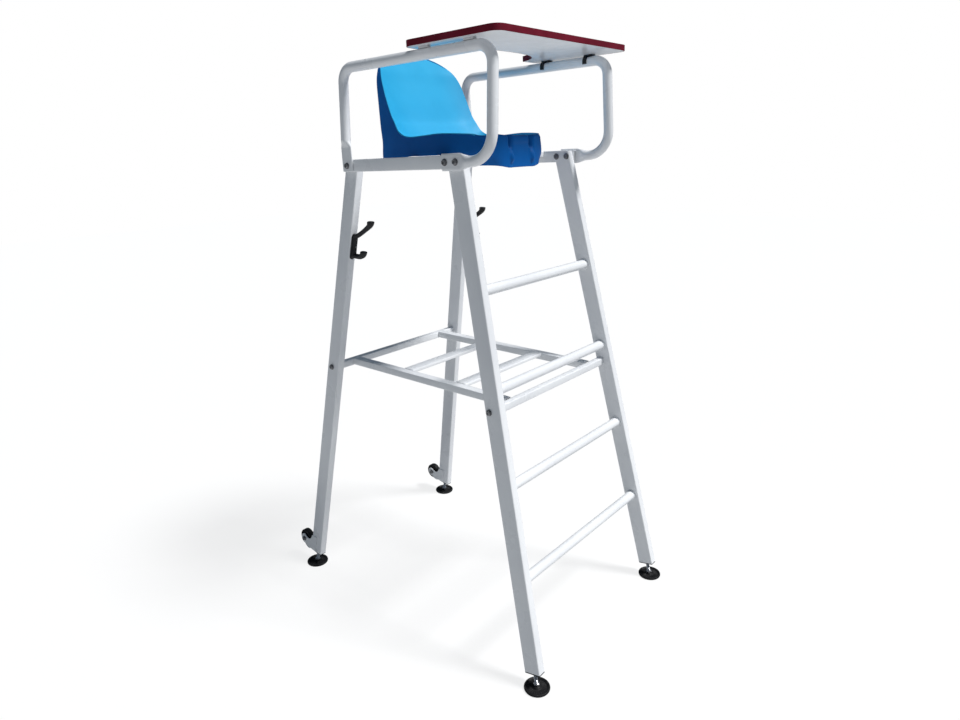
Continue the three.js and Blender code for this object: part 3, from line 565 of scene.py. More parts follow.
def pressed(turn, depth, flat):
    """A point of the hoop's section: round, or pressed thin across X and wide the other way."""
    across, wide = math.cos(turn), math.sin(turn)
    radius = HOOP_RADIUS - depth
    thin = (FLAT_THICK / 2 - depth) * min(max(across / FLAT_SHARE, -1), 1)
    broad = (FLAT_WIDTH / 2 - depth) * wide
    return radius * across + (thin - radius * across) * flat, radius * wide + (broad - radius * wide) * flat


def make_hoop(side):
    sign = SIDES[side]
    outer, inner = [], []
    for y, z, heading, flat in hoop_stations():
        normal = (-math.sin(heading), math.cos(heading))
        for rings, depth in ((outer, 0), (inner, TUBE_WALL)):
            points = []
            for i in range(HOOP_SIDES):
                across, wide = pressed(2 * math.pi * i / HOOP_SIDES, depth, flat)
                place_z = z + normal[1] * wide
                x = sign * (HOOP_X - hoop_lean(place_z)) + across
                points.append(Vector((x, y + normal[0] * wide, place_z)))
            rings.append(points)
    part = loft(outer + inner[::-1], closed=True)
    tube_piece(f"armrest_hoop_{side}", moved(part, UNIT), crease=CREASE_ROUND)


# Bolts

BOLT_RADIUS = 0.0045
BOLT_SIDES = 16
WASHER_RADIUS = 0.0105
WASHER_THICK = 0.0018
WASHER_WALL_SHARE = 0.7
WASHER_ROUND_SHARE = 0.4
HEX_POINTS = 24
HEX_RADIUS = 0.0088
HEX_THICK = 0.0052
HEX_CHAMFER_SHARE = 0.2
HEX_FACE_SHARE = 0.93
SOCKET_RADIUS = 0.0042
SOCKET_RIM_SHARE = 1.5
SOCKET_RIM_RISE_SHARE = 0.08
SOCKET_FLOOR_SHARE = 0.9
SOCKET_DEPTH_SHARE = 0.45


def hex_ring(radius, z, softness=0):
    """A six-sided ring of points at a height; softness draws the corners towards a circle."""
    inner = radius * math.cos(math.pi / 6)
    points = []
    for i in range(HEX_POINTS):
        turn = 2 * math.pi * i / HEX_POINTS
        flat = inner / math.cos((turn % (math.pi / 3)) - math.pi / 6)
        reach = flat + (inner - flat) * softness
        points.append((reach * math.cos(turn), reach * math.sin(turn), z))
    return points


def bolt_head(base, up=1):
    """A washer and a hexagon head with a recess, seated at base and pointing along +Z or -Z."""
    washer = [(WASHER_RADIUS, 0), (WASHER_RADIUS, WASHER_THICK * WASHER_WALL_SHARE),
              (WASHER_RADIUS - WASHER_THICK * WASHER_ROUND_SHARE, WASHER_THICK)]
    top = WASHER_THICK + HEX_THICK
    head = [hex_ring(HEX_RADIUS, WASHER_THICK),
            hex_ring(HEX_RADIUS, top - HEX_THICK * HEX_CHAMFER_SHARE),
            hex_ring(HEX_RADIUS * HEX_FACE_SHARE, top, 1),
            hex_ring(SOCKET_RADIUS * SOCKET_RIM_SHARE, top + HEX_THICK * SOCKET_RIM_RISE_SHARE, 1),
            hex_ring(SOCKET_RADIUS, top, 1),
            hex_ring(SOCKET_RADIUS * SOCKET_FLOOR_SHARE, top - HEX_THICK * SOCKET_DEPTH_SHARE, 1)]
    place = Matrix.Translation((0, 0, base)) @ Matrix.Scale(up, 4, (0, 0, 1))
    verts, faces = moved(loft(level_rings(washer, HEX_POINTS) + head), place)
    return verts, faces if up > 0 else flipped(faces)


def make_bolt(node, head_at, nut_at, matrix):
    """A bolt along Z with a head seated at head_at and a nut at nut_at, placed by a matrix."""
    shank = lathe([(BOLT_RADIUS, nut_at), (BOLT_RADIUS, head_at)], BOLT_SIDES)
    part = merged([bolt_head(head_at), bolt_head(nut_at, -1), shank])
    piece(f"{node}_set", *moved(part, matrix), STEEL, stands_for=[node], crease=CREASE_FLATS)


def make_rail_bolts(side):
    sign = SIDES[side]
    for tag, leg in (("front_outer", "front"), ("front_inner", "front"), ("rear", "rear")):
        node = f"rail_bolt_{tag}_{side}"
        spot = middle(node)
        outer = HOOP_X + FLAT_THICK / 2 + GAP
        inner = leg_inner(leg, spot.z + WASHER_RADIUS) - GAP
        make_bolt(node, outer, inner, along_x(0, spot.y, spot.z, sign))


def make_shelf_bolts(side):
    sign = SIDES[side]
    for leg in LEGS:
        node = f"shelf_bolt_{leg}_{side}"
        spot = middle(node)
        outer = leg_at(leg, spot.z)[0] + LEG_THICK / 2 + GAP - leg_lean(leg)[0] * WASHER_RADIUS
        inner = leg_inner(leg, spot.z) - SHELF_BAR / 2
        make_bolt(node, outer, inner, along_x(0, spot.y, spot.z, sign))


SEAT_BOLT_X = 0.090
SEAT_BOLT_LIFT = 0.0103


def make_seat_bolt(tag, side):
    place = UNIT @ Matrix.Translation((SIDES[side] * SEAT_BOLT_X, CARRIER_YS[tag], RAIL_TALL / 2))
    make_bolt(f"seat_bolt_{tag}_{side}", SEAT_BOLT_LIFT, -CARRIER_TALL - GAP, place)


# Seat shell

SEAT_HALF = 0.215
SEAT_FRONT = -0.222
SEAT_BACK = 0.256
PAN_DEPTH = 0.059
RIM_HEIGHT = 0.0833
BACK_HEIGHT = 0.2797
SKIRT_DROP = 0.1113
SEAT_WALL = 0.0036
BOWL_POWER = 4
SEAT_COLUMNS = 44
ROWS_PER_STEP = 6
# Shares of the seat's sizes, row by row from the front lip to the top of the back: half width, rim along Y,
# rim height, middle along Y, middle height, flange end along Y and its height
SEAT_ROW_SHARES = [
    (0.33, 0, -0.015, 0, -0.08, -0.006, -0.98),
    (0.5, 0.012, -0.014, 0.02, -0.14, 0.01, -0.93),
    (0.66, 0.052, -0.014, 0.062, -0.3, 0.05, -0.9),
    (0.81, 0.115, -0.008, 0.124, -0.6, 0.113, -0.88),
    (0.91, 0.18, 0.002, 0.19, -0.82, 0.178, -0.84),
    (0.97, 0.255, 0.01, 0.262, -1, 0.253, -0.565),
    (1, 0.353, 0.015, 0.36, -1, 0.353, -0.56),
    (1, 0.497, 0.004, 0.497, -1, 0.497, -0.56),
    (1, 0.6, 0, 0.6, -1, 0.62, -0.56),
    (1, 0.655, 0.016, 0.672, -0.8, 0.79, -0.65),
    (0.995, 0.691, 0.044, 0.723, -0.42, 0.882, -0.63),
    (0.986, 0.726, 0.088, 0.764, 0.02, 0.883, -0.12),
    (0.967, 0.764, 0.185, 0.805, 0.13, 0.9, 0.113),
    (0.958, 0.795, 0.268, 0.838, 0.22, 0.907, 0.238),
    (0.944, 0.843, 0.467, 0.883, 0.43, 0.917, 0.445),
    (0.912, 0.886, 0.66, 0.926, 0.64, 0.934, 0.639),
    (0.851, 0.92, 0.782, 0.95, 0.775, 0.95, 0.76),
    (0.758, 0.958, 0.868, 0.972, 0.871, 0.97, 0.84),
    (0.558, 0.985, 0.943, 0.99, 0.946, 0.993, 0.911),
    (0.3, 1, 0.99, 1, 0.997, 1.012, 0.955),
]


def seat_rows():
    """The rows in metres, with smooth ones between: half width, rim, middle and flange end as (y, z)."""
    def height(share, below):
        return RIM_HEIGHT + share * (below if share < 0 else BACK_HEIGHT)

    def along(share):
        return SEAT_FRONT + share * (SEAT_BACK - SEAT_FRONT)
    rows = np.array([(wide * SEAT_HALF, along(rim_y), RIM_HEIGHT + rim_z * BACK_HEIGHT, along(mid_y),
                      height(mid_z, PAN_DEPTH), along(end_y), height(end_z, SKIRT_DROP))
                     for wide, rim_y, rim_z, mid_y, mid_z, end_y, end_z in SEAT_ROW_SHARES])
    return spline(rows, ROWS_PER_STEP)


# How far down the skirt each of its rings lies
RIM_SHARES = (0.045, 0.09, 0.14, 0.2, 0.28, 0.38, 0.5, 0.62, 0.74, 0.84, 0.92, 0.97, 1.0)
# Two grooves in the front skirt, where each starts and stops on its way down, and the panel between them
GROOVE_AT = 0.055
GROOVE_HALF = 0.0075
GROOVE_DEPTH = 0.022
GROOVE_REACH = 0.022
GROOVE_WAIST_SHARE = 0.85
GROOVE_START_SHARE = 0.25
GROOVE_START_FADE_SHARE = 0.2
GROOVE_STOP_SHARE = 0.72
GROOVE_STOP_FADE_SHARE = 0.15
PANEL_SINK = 0.002
PANEL_TOP_SHARE = 0.12
PANEL_FADE_SHARE = 0.06
SKIRT_FRONT = -0.19
SKIRT_FADE = 0.012
# The rolled front edge of the sitting face
NOSE_ROUND = 0.015
NOSE_END = -0.165
NOSE_BLEND = 0.03
# Faces that roll down further than this at the front take the painted shade colour
NOSE_SHADE_DROP = 0.0004
# The front corners of the skirt, which swell and then tuck in towards the foot
CORNER_AT = 0.13
CORNER_POWER = 3
CORNER_END = -0.10
CORNER_BLEND = 0.10
CORNER_TUCK = 0.016
CORNER_SWELL = 0.004


def groove_share(x):
    return math.exp(-((abs(x) - GROOVE_AT) / GROOVE_HALF) ** 2)


def nose_notch(x, y):
    """How far a groove presses the front edge back."""
    return GROOVE_DEPTH * groove_share(x) * math.exp((SEAT_FRONT - y) / GROOVE_REACH)


def corner_share(x, y):
    """How far a place is towards the front corners, from none at the middle to 1."""
    return min(abs(x) / CORNER_AT, 1) ** CORNER_POWER * smooth_step((CORNER_END - y) / CORNER_BLEND)


def nose_drop(x, y, half):
    """How far the sitting face rolls down towards the front edge."""
    near = min(half - abs(x), y - SEAT_FRONT)
    short = min(max(NOSE_ROUND - near, 0), NOSE_ROUND)
    return (NOSE_ROUND - math.sqrt(NOSE_ROUND ** 2 - short ** 2)) * smooth_step((NOSE_END - y) / NOSE_BLEND)


def skirt_relief(x, y, share):
    """How far the front skirt is pressed in below its edge: shallower grooves and the panel between them."""
    if y > SKIRT_FRONT:
        return 0
    started = smooth_step((share - GROOVE_START_SHARE) / GROOVE_START_FADE_SHARE)
    stopped = smooth_step((share - GROOVE_STOP_SHARE) / GROOVE_STOP_FADE_SHARE)
    groove = -GROOVE_DEPTH * groove_share(x) * GROOVE_WAIST_SHARE * started * (1 - stopped)
    inside = 1 - smooth_step((abs(x) - GROOVE_AT + GROOVE_HALF) / GROOVE_HALF)
    panel = PANEL_SINK * inside * smooth_step((share - PANEL_TOP_SHARE) / PANEL_FADE_SHARE)
    return (groove + panel) * smooth_step((SKIRT_FRONT - y) / SKIRT_FADE)


def seat_face(rows):
    """The sitting face's points and faces, and how far each point has rolled down at the front."""
    verts, faces, drops = [], [], []
    across = SEAT_COLUMNS + 1
    for half, rim_y, rim_z, mid_y, mid_z, _, _ in rows:
        for i in range(across):
            u = math.sin((i / SEAT_COLUMNS - 1 / 2) * math.pi)
            lift = abs(u) ** BOWL_POWER
            x, y = u * half, mid_y + (rim_y - mid_y) * lift
            drops.append(nose_drop(x, y, half))
            verts.append(Vector((x, y + nose_notch(x, y), mid_z + (rim_z - mid_z) * lift - drops[-1])))
    for r in range(len(rows) - 1):
        for i in range(SEAT_COLUMNS):
            a = r * across + i
            faces.append((a, a + 1, a + across + 1, a + across))
    return verts, faces, drops


def rim_loop(last):
    """The sitting face's edge points, each with its row, once round from the front."""
    across = SEAT_COLUMNS + 1
    loop = [(i, 0) for i in range(SEAT_COLUMNS)]
    loop += [(r * across + SEAT_COLUMNS, r) for r in range(last)]
    loop += [(last * across + i, last) for i in range(SEAT_COLUMNS, 0, -1)]
    loop += [(r * across, r) for r in range(last, 0, -1)]
    return loop


def skirt_point(start, end_y, end_z, share):
    """The skirt's point a share of the way down from a point of the rim."""
    tuck = CORNER_TUCK * smooth_step(2 * share - 1) - CORNER_SWELL * math.sin(math.pi * share)
    inwards = corner_share(start.x, start.y) * tuck
    x = start.x * (1 + share * SEAT_WALL / SEAT_HALF) - math.copysign(1, start.x) * inwards
    y = start.y + (end_y - start.y) * share + skirt_relief(start.x, start.y, share)
    return Vector((x, y, start.z + (end_z - start.z) * share))


def seat_skin():
    """The skin's points and faces, and which faces take the painted shade colour: the skirt below its first
    ring and the rolled front edge.
    """
    rows = seat_rows()
    verts, faces, drops = seat_face(rows)
    # True marks a face that takes the painted shade colour
    skirt = [(drops[face[0]] + drops[face[2]]) / 2 > NOSE_SHADE_DROP for face in faces]
    loop = rim_loop(len(rows) - 1)
    count = len(loop)
    before = [index for index, _ in loop]
    for share in RIM_SHARES:
        after = range(len(verts), len(verts) + count)
        verts += [skirt_point(verts[index], rows[r][5], rows[r][6], share) for index, r in loop]
        for i in range(count):
            j = (i + 1) % count
            faces.append((before[i], after[i], after[j], before[j]))
            skirt.append(share > RIM_SHARES[0] or drops[loop[i][0]] > NOSE_SHADE_DROP)
        before = after
    return verts, faces, skirt


def make_seat():
    verts, faces, skirt = seat_skin()
    seat = unit_piece("seat_moulding", (verts, faces), SEAT, stands_for=["seat_shell"], crease=CREASE_NONE)
    # The second material is painted shade: the marked faces take it, and the solidify puts it on the shell's
    # back and edges too
    seat.data.materials.append(SEAT_PAINTED_SHADE)
    for polygon, painted_shade in zip(seat.data.polygons, skirt):
        polygon.material_index = int(painted_shade)
    modify(seat, "SOLIDIFY", thickness=SEAT_WALL, offset=-1, material_offset=1, material_offset_rim=1)
    modify(seat, "SUBSURF", levels=1, render_levels=1)


# Desk

DESK_HALF = 0.345
DESK_FRONT = -0.413
DESK_REAR = -0.057
DESK_THICK = 0.018
DESK_BAND = 0.0025
DESK_CORNER = 0.032
BELLY_HALF = 0.240
BELLY_DEPTH = 0.120
BELLY_POWER = 2.6
BELLY_CORNER_SHARE = 0.12
BELLY_STEPS = 60
DESK_CORNER_STEPS = 10
REST_THICK = 0.004
UNDERSIDE = HOOP_HEIGHT + HOOP_RADIUS + REST_THICK + 2 * GAP


def belly(half, rear):
    """The cut-out for the sitter's belly, as points from +X to -X."""
    start = math.pi * (1 / 2 - BELLY_CORNER_SHARE)
    base = math.cos(start) ** (2 / BELLY_POWER)
    full = math.sin(start) ** (2 / BELLY_POWER)
    points = []
    for t in even_steps(BELLY_STEPS):
        turn = start * (1 - 2 * t)
        across = math.copysign(abs(math.sin(turn)) ** (2 / BELLY_POWER), turn) / full
        sunk = (math.cos(turn) ** (2 / BELLY_POWER) - base) / (1 - base)
        points.append((half * across, rear - BELLY_DEPTH * sunk))
    return points


def desk_outline(inset):
    x, front, rear = DESK_HALF - inset, DESK_FRONT + inset, DESK_REAR - inset
    radius = DESK_CORNER - inset

    def corner(x_centre, y_centre, quarter):
        turns = [math.pi / 2 * (quarter + t) for t in even_steps(DESK_CORNER_STEPS)]
        return [(x_centre + radius * math.cos(turn), y_centre + radius * math.sin(turn)) for turn in turns]
    return (corner(-x + radius, front + radius, 2) + corner(x - radius, front + radius, 3)
            + corner(x - radius, rear - radius, 0) + belly(BELLY_HALF + inset, rear)
            + corner(-x + radius, rear - radius, 1))


def levels(outlines_at):
    """Rings of points from (outline, height) pairs."""
    return [[Vector((x, y, z)) for x, y in outline] for outline, z in outlines_at]


def make_desk():
    top = UNDERSIDE + DESK_THICK
    board = desk_outline(DESK_BAND + GAP)
    unit_piece("desk_board_panel", loft(levels([(board, UNDERSIDE), (board, top)])), BOARD, body="desk",
               stands_for=["desk_board"], bevel=FINE_EDGE)
    outer, inner = desk_outline(0), desk_outline(DESK_BAND)
    rings = levels([(outer, UNDERSIDE), (outer, top), (inner, top), (inner, UNDERSIDE)])
    unit_piece("desk_edge_strip", loft(rings, closed=True), EDGING, body="desk",
               stands_for=["desk_edge_band"], bevel=SOFT_EDGE)


CLIP_YS = {"front": -0.281, "rear": -0.107}
CLIP_THICK = 0.0032
CLIP_WIDTH = 0.015
CLIP_BASE_LENGTH = 0.034
CLIP_BASE_WIDTH = 0.026
CLIP_BASE_CORNER = 0.004
CLIP_WRAP = math.radians(115)
CLIP_STEPS = 28
# The strap's ends thicken over the last part of its wrap
LIP_SWELL_SHARE = 0.08
LIP_START_SHARE = 0.85
SCREW_RADIUS = 0.0036
SCREW_EDGE = 0.001
SCREW_TALL = 0.0022
SCREW_FACE_SHARE = 0.6
REST_LENGTH = 0.040
REST_WIDTH = 0.016
REST_CORNER = 0.004


def clip_strap(y):
    """The strap round the hoop's top tube, open at the bottom."""
    bore = HOOP_RADIUS + GAP
    half = CLIP_WIDTH / 2
    rings = []
    for t in even_steps(CLIP_STEPS):
        share = 2 * t - 1
        turn = math.pi / 2 + CLIP_WRAP * share
        swell = 1 + LIP_SWELL_SHARE * max(0, abs(share) - LIP_START_SHARE) / (1 - LIP_START_SHARE)
        outer = (bore + CLIP_THICK) * swell
        rings.append([Vector((HOOP_TOP_X + radius * math.cos(turn), y + along,
                              HOOP_HEIGHT + radius * math.sin(turn)))
                      for radius, along in ((bore, -half), (bore, half), (outer, half), (outer, -half))])
    return loft(rings)


def make_clip(tag):
    y = CLIP_YS[tag]
    low = HOOP_HEIGHT + HOOP_RADIUS + 2 * GAP
    base_y = y + CLIP_WIDTH / 2 - CLIP_BASE_LENGTH / 2
    outline = [(HOOP_TOP_X + u, base_y + v)
               for u, v in rounded_outline(CLIP_BASE_WIDTH, CLIP_BASE_LENGTH, CLIP_BASE_CORNER)]
    base = loft(levels([(outline, low), (outline, UNDERSIDE - GAP)]))
    unit_piece(f"desk_clip_{tag}_moulding", merged([clip_strap(y), base]), BLACK, body="desk",
               stands_for=[f"desk_clip_{tag}"], bevel=PLATE_EDGE)
    screw_y = base_y - CLIP_BASE_LENGTH / 2 + 2 * SCREW_RADIUS
    profile = [(SCREW_RADIUS, 0), (SCREW_RADIUS, SCREW_EDGE), (SCREW_RADIUS * SCREW_FACE_SHARE, SCREW_TALL)]
    verts, faces = moved(lathe(profile, BOLT_SIDES),
                         Matrix.Translation((HOOP_TOP_X, screw_y, low)) @ Matrix.Scale(-1, 4, (0, 0, 1)))
    unit_piece(f"desk_clip_{tag}_screw", (verts, flipped(faces)), STEEL, body="desk")


def make_rest_pad(tag):
    low = HOOP_HEIGHT + HOOP_RADIUS + GAP
    outline = [(u - HOOP_TOP_X, CLIP_YS[tag] + v)
               for u, v in rounded_outline(REST_WIDTH, REST_LENGTH, REST_CORNER)]
    pad = loft(levels([(outline, low), (outline, low + REST_THICK)]))
    unit_piece(f"desk_rest_pad_{tag}_moulding", pad, WHITE, body="desk",
               stands_for=[f"desk_rest_pad_{tag}"], bevel=SOFT_EDGE)


# Feet, plugs, wheels and hooks

PAD_RADIUS = 0.043
PAD_HEIGHT = 0.010
PAD_RIM = 0.007
PAD_FLOOR = 0.005
PAD_HUB = 0.013
PAD_HUB_HEIGHT = 0.012
PAD_RIBS = 24
PAD_SIDES = 96
RIB_RISE = 0.0012
RIB_STEEPNESS = 2
RIB_FADE_SHARE = 0.3
# The pad's section: shares of its radius, its rim, its height and its floor where it bends
PAD_STAND_SHARE = 0.6
SLOPE_TOP_SHARE = 0.85
SLOPE_SHARE = 0.35
DISH_END_SHARE = 0.5
HUB_FOOT_SHARE = 1.3
RIM_STEPS = 12
DISH_STEPS = 6
HUB_STEPS = 6
SPINDLE_RADIUS = 0.006
SPINDLE_REACH = 0.030
SPINDLE_START = 0.006
THREAD_PITCH = 0.0015
THREAD_DEPTH = 0.0006
THREAD_SIDES = 20
NUT_RADIUS = 0.0105
NUT_HEIGHT = 0.007
NUT_FACE_SHARE = 0.92
NUT_CHAMFER_SHARE = 0.15


def leg_turn(leg, sign):
    lean_x, lean_y = leg_lean(leg)
    return Vector((sign * lean_x, lean_y, 1)).to_track_quat("Z", "Y").to_matrix().to_4x4()


def pad_profile():
    """The pad's upper side as (radius, height, how much the ribs show), from the floor in to the hub."""
    half_rim, half_height = PAD_RIM / 2, PAD_HEIGHT / 2
    rim = [(PAD_RADIUS - half_rim + half_rim * math.sin(turn), half_height - half_height * math.cos(turn), 0)
           for turn in (math.pi * t for t in even_steps(RIM_STEPS))]
    dish_out = PAD_RADIUS - PAD_RIM - PAD_RIM * SLOPE_SHARE
    dish_in = PAD_HUB + PAD_RIM * DISH_END_SHARE
    slope = [(PAD_RADIUS - PAD_RIM, PAD_HEIGHT * SLOPE_TOP_SHARE, 0), (dish_out, PAD_FLOOR, RIB_FADE_SHARE)]
    dish = [(dish_out + (dish_in - dish_out) * t, PAD_FLOOR, 1) for t in even_steps(DISH_STEPS)[1:-1]]
    foot = PAD_FLOOR * HUB_FOOT_SHARE
    hub = [(PAD_HUB + PAD_RIM * SLOPE_SHARE, PAD_FLOOR, RIB_FADE_SHARE), (PAD_HUB, foot, 0)]
    hub += [(PAD_HUB * math.cos(turn), foot + (PAD_HUB_HEIGHT - foot) * math.sin(turn), 0)
            for turn in (math.pi / 2 * t for t in even_steps(HUB_STEPS)[1:-1])]
    return [(PAD_RADIUS * PAD_STAND_SHARE, 0, 0)] + rim + slope + dish + hub


def make_pad(node, body, x, y):
    rings = []
    for radius, z, ribbed in pad_profile():
        points = []
        for i in range(PAD_SIDES):
            turn = 2 * math.pi * i / PAD_SIDES
            crest = RIB_RISE * ribbed * smooth_step(RIB_STEEPNESS * math.cos(PAD_RIBS * turn))
            points.append(Vector((x + radius * math.cos(turn), y + radius * math.sin(turn), z + crest)))
        rings.append(points)
    piece(f"{node}_pad", *loft(rings), RUBBER, body=body, stands_for=[node], crease=CREASE_PAD)


def make_foot(leg, side):
    sign = SIDES[side]
    x, y = leg_at(leg, SPINDLE_START)
    node = f"levelling_foot_{leg}_{side}"
    body = f"foot_{leg}_{side}"
    make_pad(node, body, sign * x, y)
    stretch = math.hypot(1, *leg_lean(leg))
    length = (LEG_END + SPINDLE_REACH - SPINDLE_START) * stretch
    turns = int(length / THREAD_PITCH)
    thread = []
    for z in (length * i / turns for i in range(turns)):
        thread += [(SPINDLE_RADIUS - THREAD_DEPTH, z), (SPINDLE_RADIUS, z + THREAD_PITCH / 2)]
    place = Matrix.Translation((sign * x, y, SPINDLE_START)) @ leg_turn(leg, sign)
    piece(f"{node}_spindle", *moved(lathe(thread, THREAD_SIDES), place), ZINC, body=body, crease=CREASE_FLATS)
    low = (PAD_HUB_HEIGHT - SPINDLE_START) * stretch
    high = low + NUT_HEIGHT
    chamfer = NUT_HEIGHT * NUT_CHAMFER_SHARE
    nut = loft([hex_ring(NUT_RADIUS * NUT_FACE_SHARE, low, 1), hex_ring(NUT_RADIUS, low + chamfer),
                hex_ring(NUT_RADIUS, high - chamfer), hex_ring(NUT_RADIUS * NUT_FACE_SHARE, high, 1)])
    piece(f"{node}_nut", *moved(nut, place), ZINC, body=body, crease=CREASE_FLATS)


PLUG_FLANGE = 0.003
PLUG_DEPTH = 0.032


def make_plug(leg, side):
    sign = SIDES[side]
    outline = rounded_outline(LEG_THICK, LEG_DEPTH, LEG_CORNER)
    stem = shrink(outline, TUBE_WALL + GAP)
    turns = [2 * math.pi * (i + 1 / 2) / len(outline) for i in range(len(outline))]
    bore = SPINDLE_RADIUS + GAP
    hole = [(bore * math.cos(turn), bore * math.sin(turn)) for turn in turns]
    below = -PLUG_FLANGE - GAP
    rings = []
    for shape, lift in ((hole, below), (outline, below), (outline, -GAP), (stem, -GAP), (stem, PLUG_DEPTH),
                        (hole, PLUG_DEPTH)):
        place = leg_place(leg, sign, lambda offset, lift=lift: leg_end(leg, offset, lift))
        rings.append([place(u, v) for u, v in shape])
    node = f"leg_plug_{leg}_{side}"
    piece(f"{node}_moulding", *loft(rings, closed=True), BLACK, stands_for=[node], bevel=PLUG_EDGE)


WHEEL_RADIUS = 0.035
WHEEL_HALF = 0.0117
WHEEL_BORE = 0.0043
WHEEL_HUB = 0.011
WHEEL_RIM = 0.027
WHEEL_WEB = 0.006
WHEEL_SIDES = 56
HUB_TAPER = 0.001
RIM_TAPER = 0.002
TREAD_ROUND = 0.004
TREAD_STEPS = 5
CHEEK_THICK = 0.003
CHEEK_EYE = 0.021
CHEEK_PULL_DROP = 0.044
CHEEK_TOP_RISE = 0.032
CHEEK_STEPS = 10
EYE_STEPS = 16


def make_wheel(side):
    node = f"transport_wheel_{side}"
    centre = middle(node)
    tread = []
    for turn in (math.pi / 2 * t for t in even_steps(TREAD_STEPS)):
        radius = WHEEL_RADIUS - TREAD_ROUND * (1 - math.sin(turn))
        tread.append((radius, TREAD_ROUND * (1 - math.cos(turn)) - WHEEL_HALF))
    half = [(WHEEL_BORE, -WHEEL_HALF), (WHEEL_HUB, -WHEEL_HALF), (WHEEL_HUB + HUB_TAPER, -WHEEL_WEB),
            (WHEEL_RIM - RIM_TAPER, -WHEEL_WEB), (WHEEL_RIM, -WHEEL_HALF)] + tread
    wheel = lathe(half + [(r, -z) for r, z in reversed(half)], WHEEL_SIDES, closed=True)
    piece(f"{node}_tyre", *moved(wheel, along_x(*centre)), RUBBER, body=f"wheel_{side}", stands_for=[node],
          slot="wheel_rubber")


def make_axle(side):
    node = f"wheel_axle_{side}"
    centre = middle(node)
    lean = abs(leg_lean("rear")[0]) * WASHER_RADIUS
    reach = LEG_THICK / 2 + CHEEK_THICK + 2 * GAP + lean
    make_bolt(node, reach, -reach, along_x(*centre, SIDES[side]))


def cheek_outline():
    """The cheek's side view as (y, z) points: from the leg's side face back to the eye round the axle."""
    axle = middle("wheel_axle_right")

    def rear(z):
        return leg_at("rear", z)[1] + REAR_HALF

    def curve(start, pull, stop):
        return [tuple((1 - t) ** 2 * a + 2 * t * (1 - t) * b + t * t * c
                      for a, b, c in zip(start, pull, stop)) for t in even_steps(CHEEK_STEPS)]
    foot = leg_end("rear", 0)
    low = leg_end("rear", LEG_DEPTH / 2)
    top = axle.z + CHEEK_TOP_RISE
    points = [(leg_at("rear", foot)[1], foot)]
    points += curve((rear(foot), low), (axle.y - CHEEK_EYE, axle.z - CHEEK_PULL_DROP),
                    (axle.y, axle.z - CHEEK_EYE))
    points += [(axle.y + CHEEK_EYE * math.cos(turn), axle.z + CHEEK_EYE * math.sin(turn))
               for turn in (math.pi * (t - 1 / 2) for t in even_steps(EYE_STEPS)[1:-1])]
    points += curve((axle.y, axle.z + CHEEK_EYE), (rear(axle.z) + CHEEK_EYE / 2, axle.z - CHEEK_EYE / 2),
                    (rear(top), top))
    points.append((leg_at("rear", top)[1], top))
    return points


def make_bracket(side):
    sign = SIDES[side]
    parts = []
    inner = LEG_THICK / 2 + GAP
    outline = cheek_outline()
    for face in (-1, 1):
        rings = [[Vector((sign * leg_at("rear", z)[0] + face * (inner + t), y, z)) for y, z in outline]
                 for t in (0, CHEEK_THICK)]
        verts, faces = loft(rings)
        parts.append((verts, faces if face > 0 else flipped(faces)))
    low, high = leg_end("rear", LEG_DEPTH / 2), middle("wheel_axle_right").z + CHEEK_EYE
    back = REAR_HALF + GAP
    rings = []
    for z in (low, high):
        x, y = leg_at("rear", z)
        rings.append([Vector((sign * x + u * (inner + GAP), y + back + CHEEK_THICK * v, z))
                      for u, v in ((-1, 0), (1, 0), (1, 1), (-1, 1))])
    parts.append(loft(rings))
    node = f"wheel_bracket_{side}"
    piece(f"{node}_plates", *merged(parts), PAINT, stands_for=[node], bevel=PLATE_EDGE)


HOOK_HEIGHT = 1.350
HOOK_PLATE_TALL = 0.090
HOOK_PLATE_WIDTH = 0.022
HOOK_PLATE_THICK = 0.005
HOOK_ROD = 0.018
HOOK_TIP = 0.026
HOOK_WAIST_SHARE = 0.05
HOOK_FLARE_SHARE = 0.25
HOOK_CROWN = 0.003
CROWN_STEPS = 4
PRONG_SIDES = 20
PRONG_STEPS = 8
HOOK_CORNER_STEPS = 8
RIB_OUT = 0.0085
UPPER_REACH = 0.092
UPPER_RISE = 0.090
LOWER_REACH = 0.065
LOWER_DROP = 0.033
# Places along each prong's middle line, as shares of its reach and of its rise or drop, and the plate's
# section, as shares of its thickness and its size
UPPER_SHARES = ((0.03, 0.36), (0.33, 0.5), (0.7, 0.75), (0.84, 0.88), (0.86, 0.98))
LOWER_SHARES = ((0.04, 0.82), (0.31, 0.97), (0.65, 0.97), (0.87, 0.78), (0.91, 0.5))
PLATE_EDGE_SHARES = ((0, 1), (0.6, 1), (1, 0.9))
HOOK_SCREW_RADIUS = 0.0042
HOOK_SCREW_HEIGHT = 0.0024
HOOK_SCREW_SINK = 0.0006
# The dome of a screw head, as shares of its radius and its height
DOME_SHARES = ((1, 0), (1, 0.33), (0.71, 0.83), (0.29, 1))


def prong(points, tip):
    """A rod along (reach, rise) points that swells to a flat tip; its back stays in front of the plate's."""
    path = spline([Vector((-reach, rise)) for reach, rise in points], PRONG_STEPS)
    total = len(path) - 1
    stations = []
    for i, spot in enumerate(path):
        ahead = (path[min(i + 1, total)] - path[max(i - 1, 0)]).normalized()
        share = i / total
        waist = HOOK_ROD / 2 * (1 - HOOK_WAIST_SHARE * math.sin(math.pi * share))
        flare = smooth_step((share - HOOK_FLARE_SHARE) / (1 - HOOK_FLARE_SHARE))
        stations.append((spot, ahead, waist + (tip - HOOK_ROD) / 2 * flare))
    end, ahead, radius = stations[-1]
    for turn in (math.pi / 2 * t for t in even_steps(CROWN_STEPS)[1:]):
        edge = radius - HOOK_CROWN * (1 - math.cos(turn))
        stations.append((end + ahead * HOOK_CROWN * math.sin(turn), ahead, edge))
    return loft([[Vector((x, min(spot.x - ahead.y * lift, 0), spot.y + ahead.x * lift))
                  for x, lift in circle(radius, PRONG_SIDES)] for spot, ahead, radius in stations])


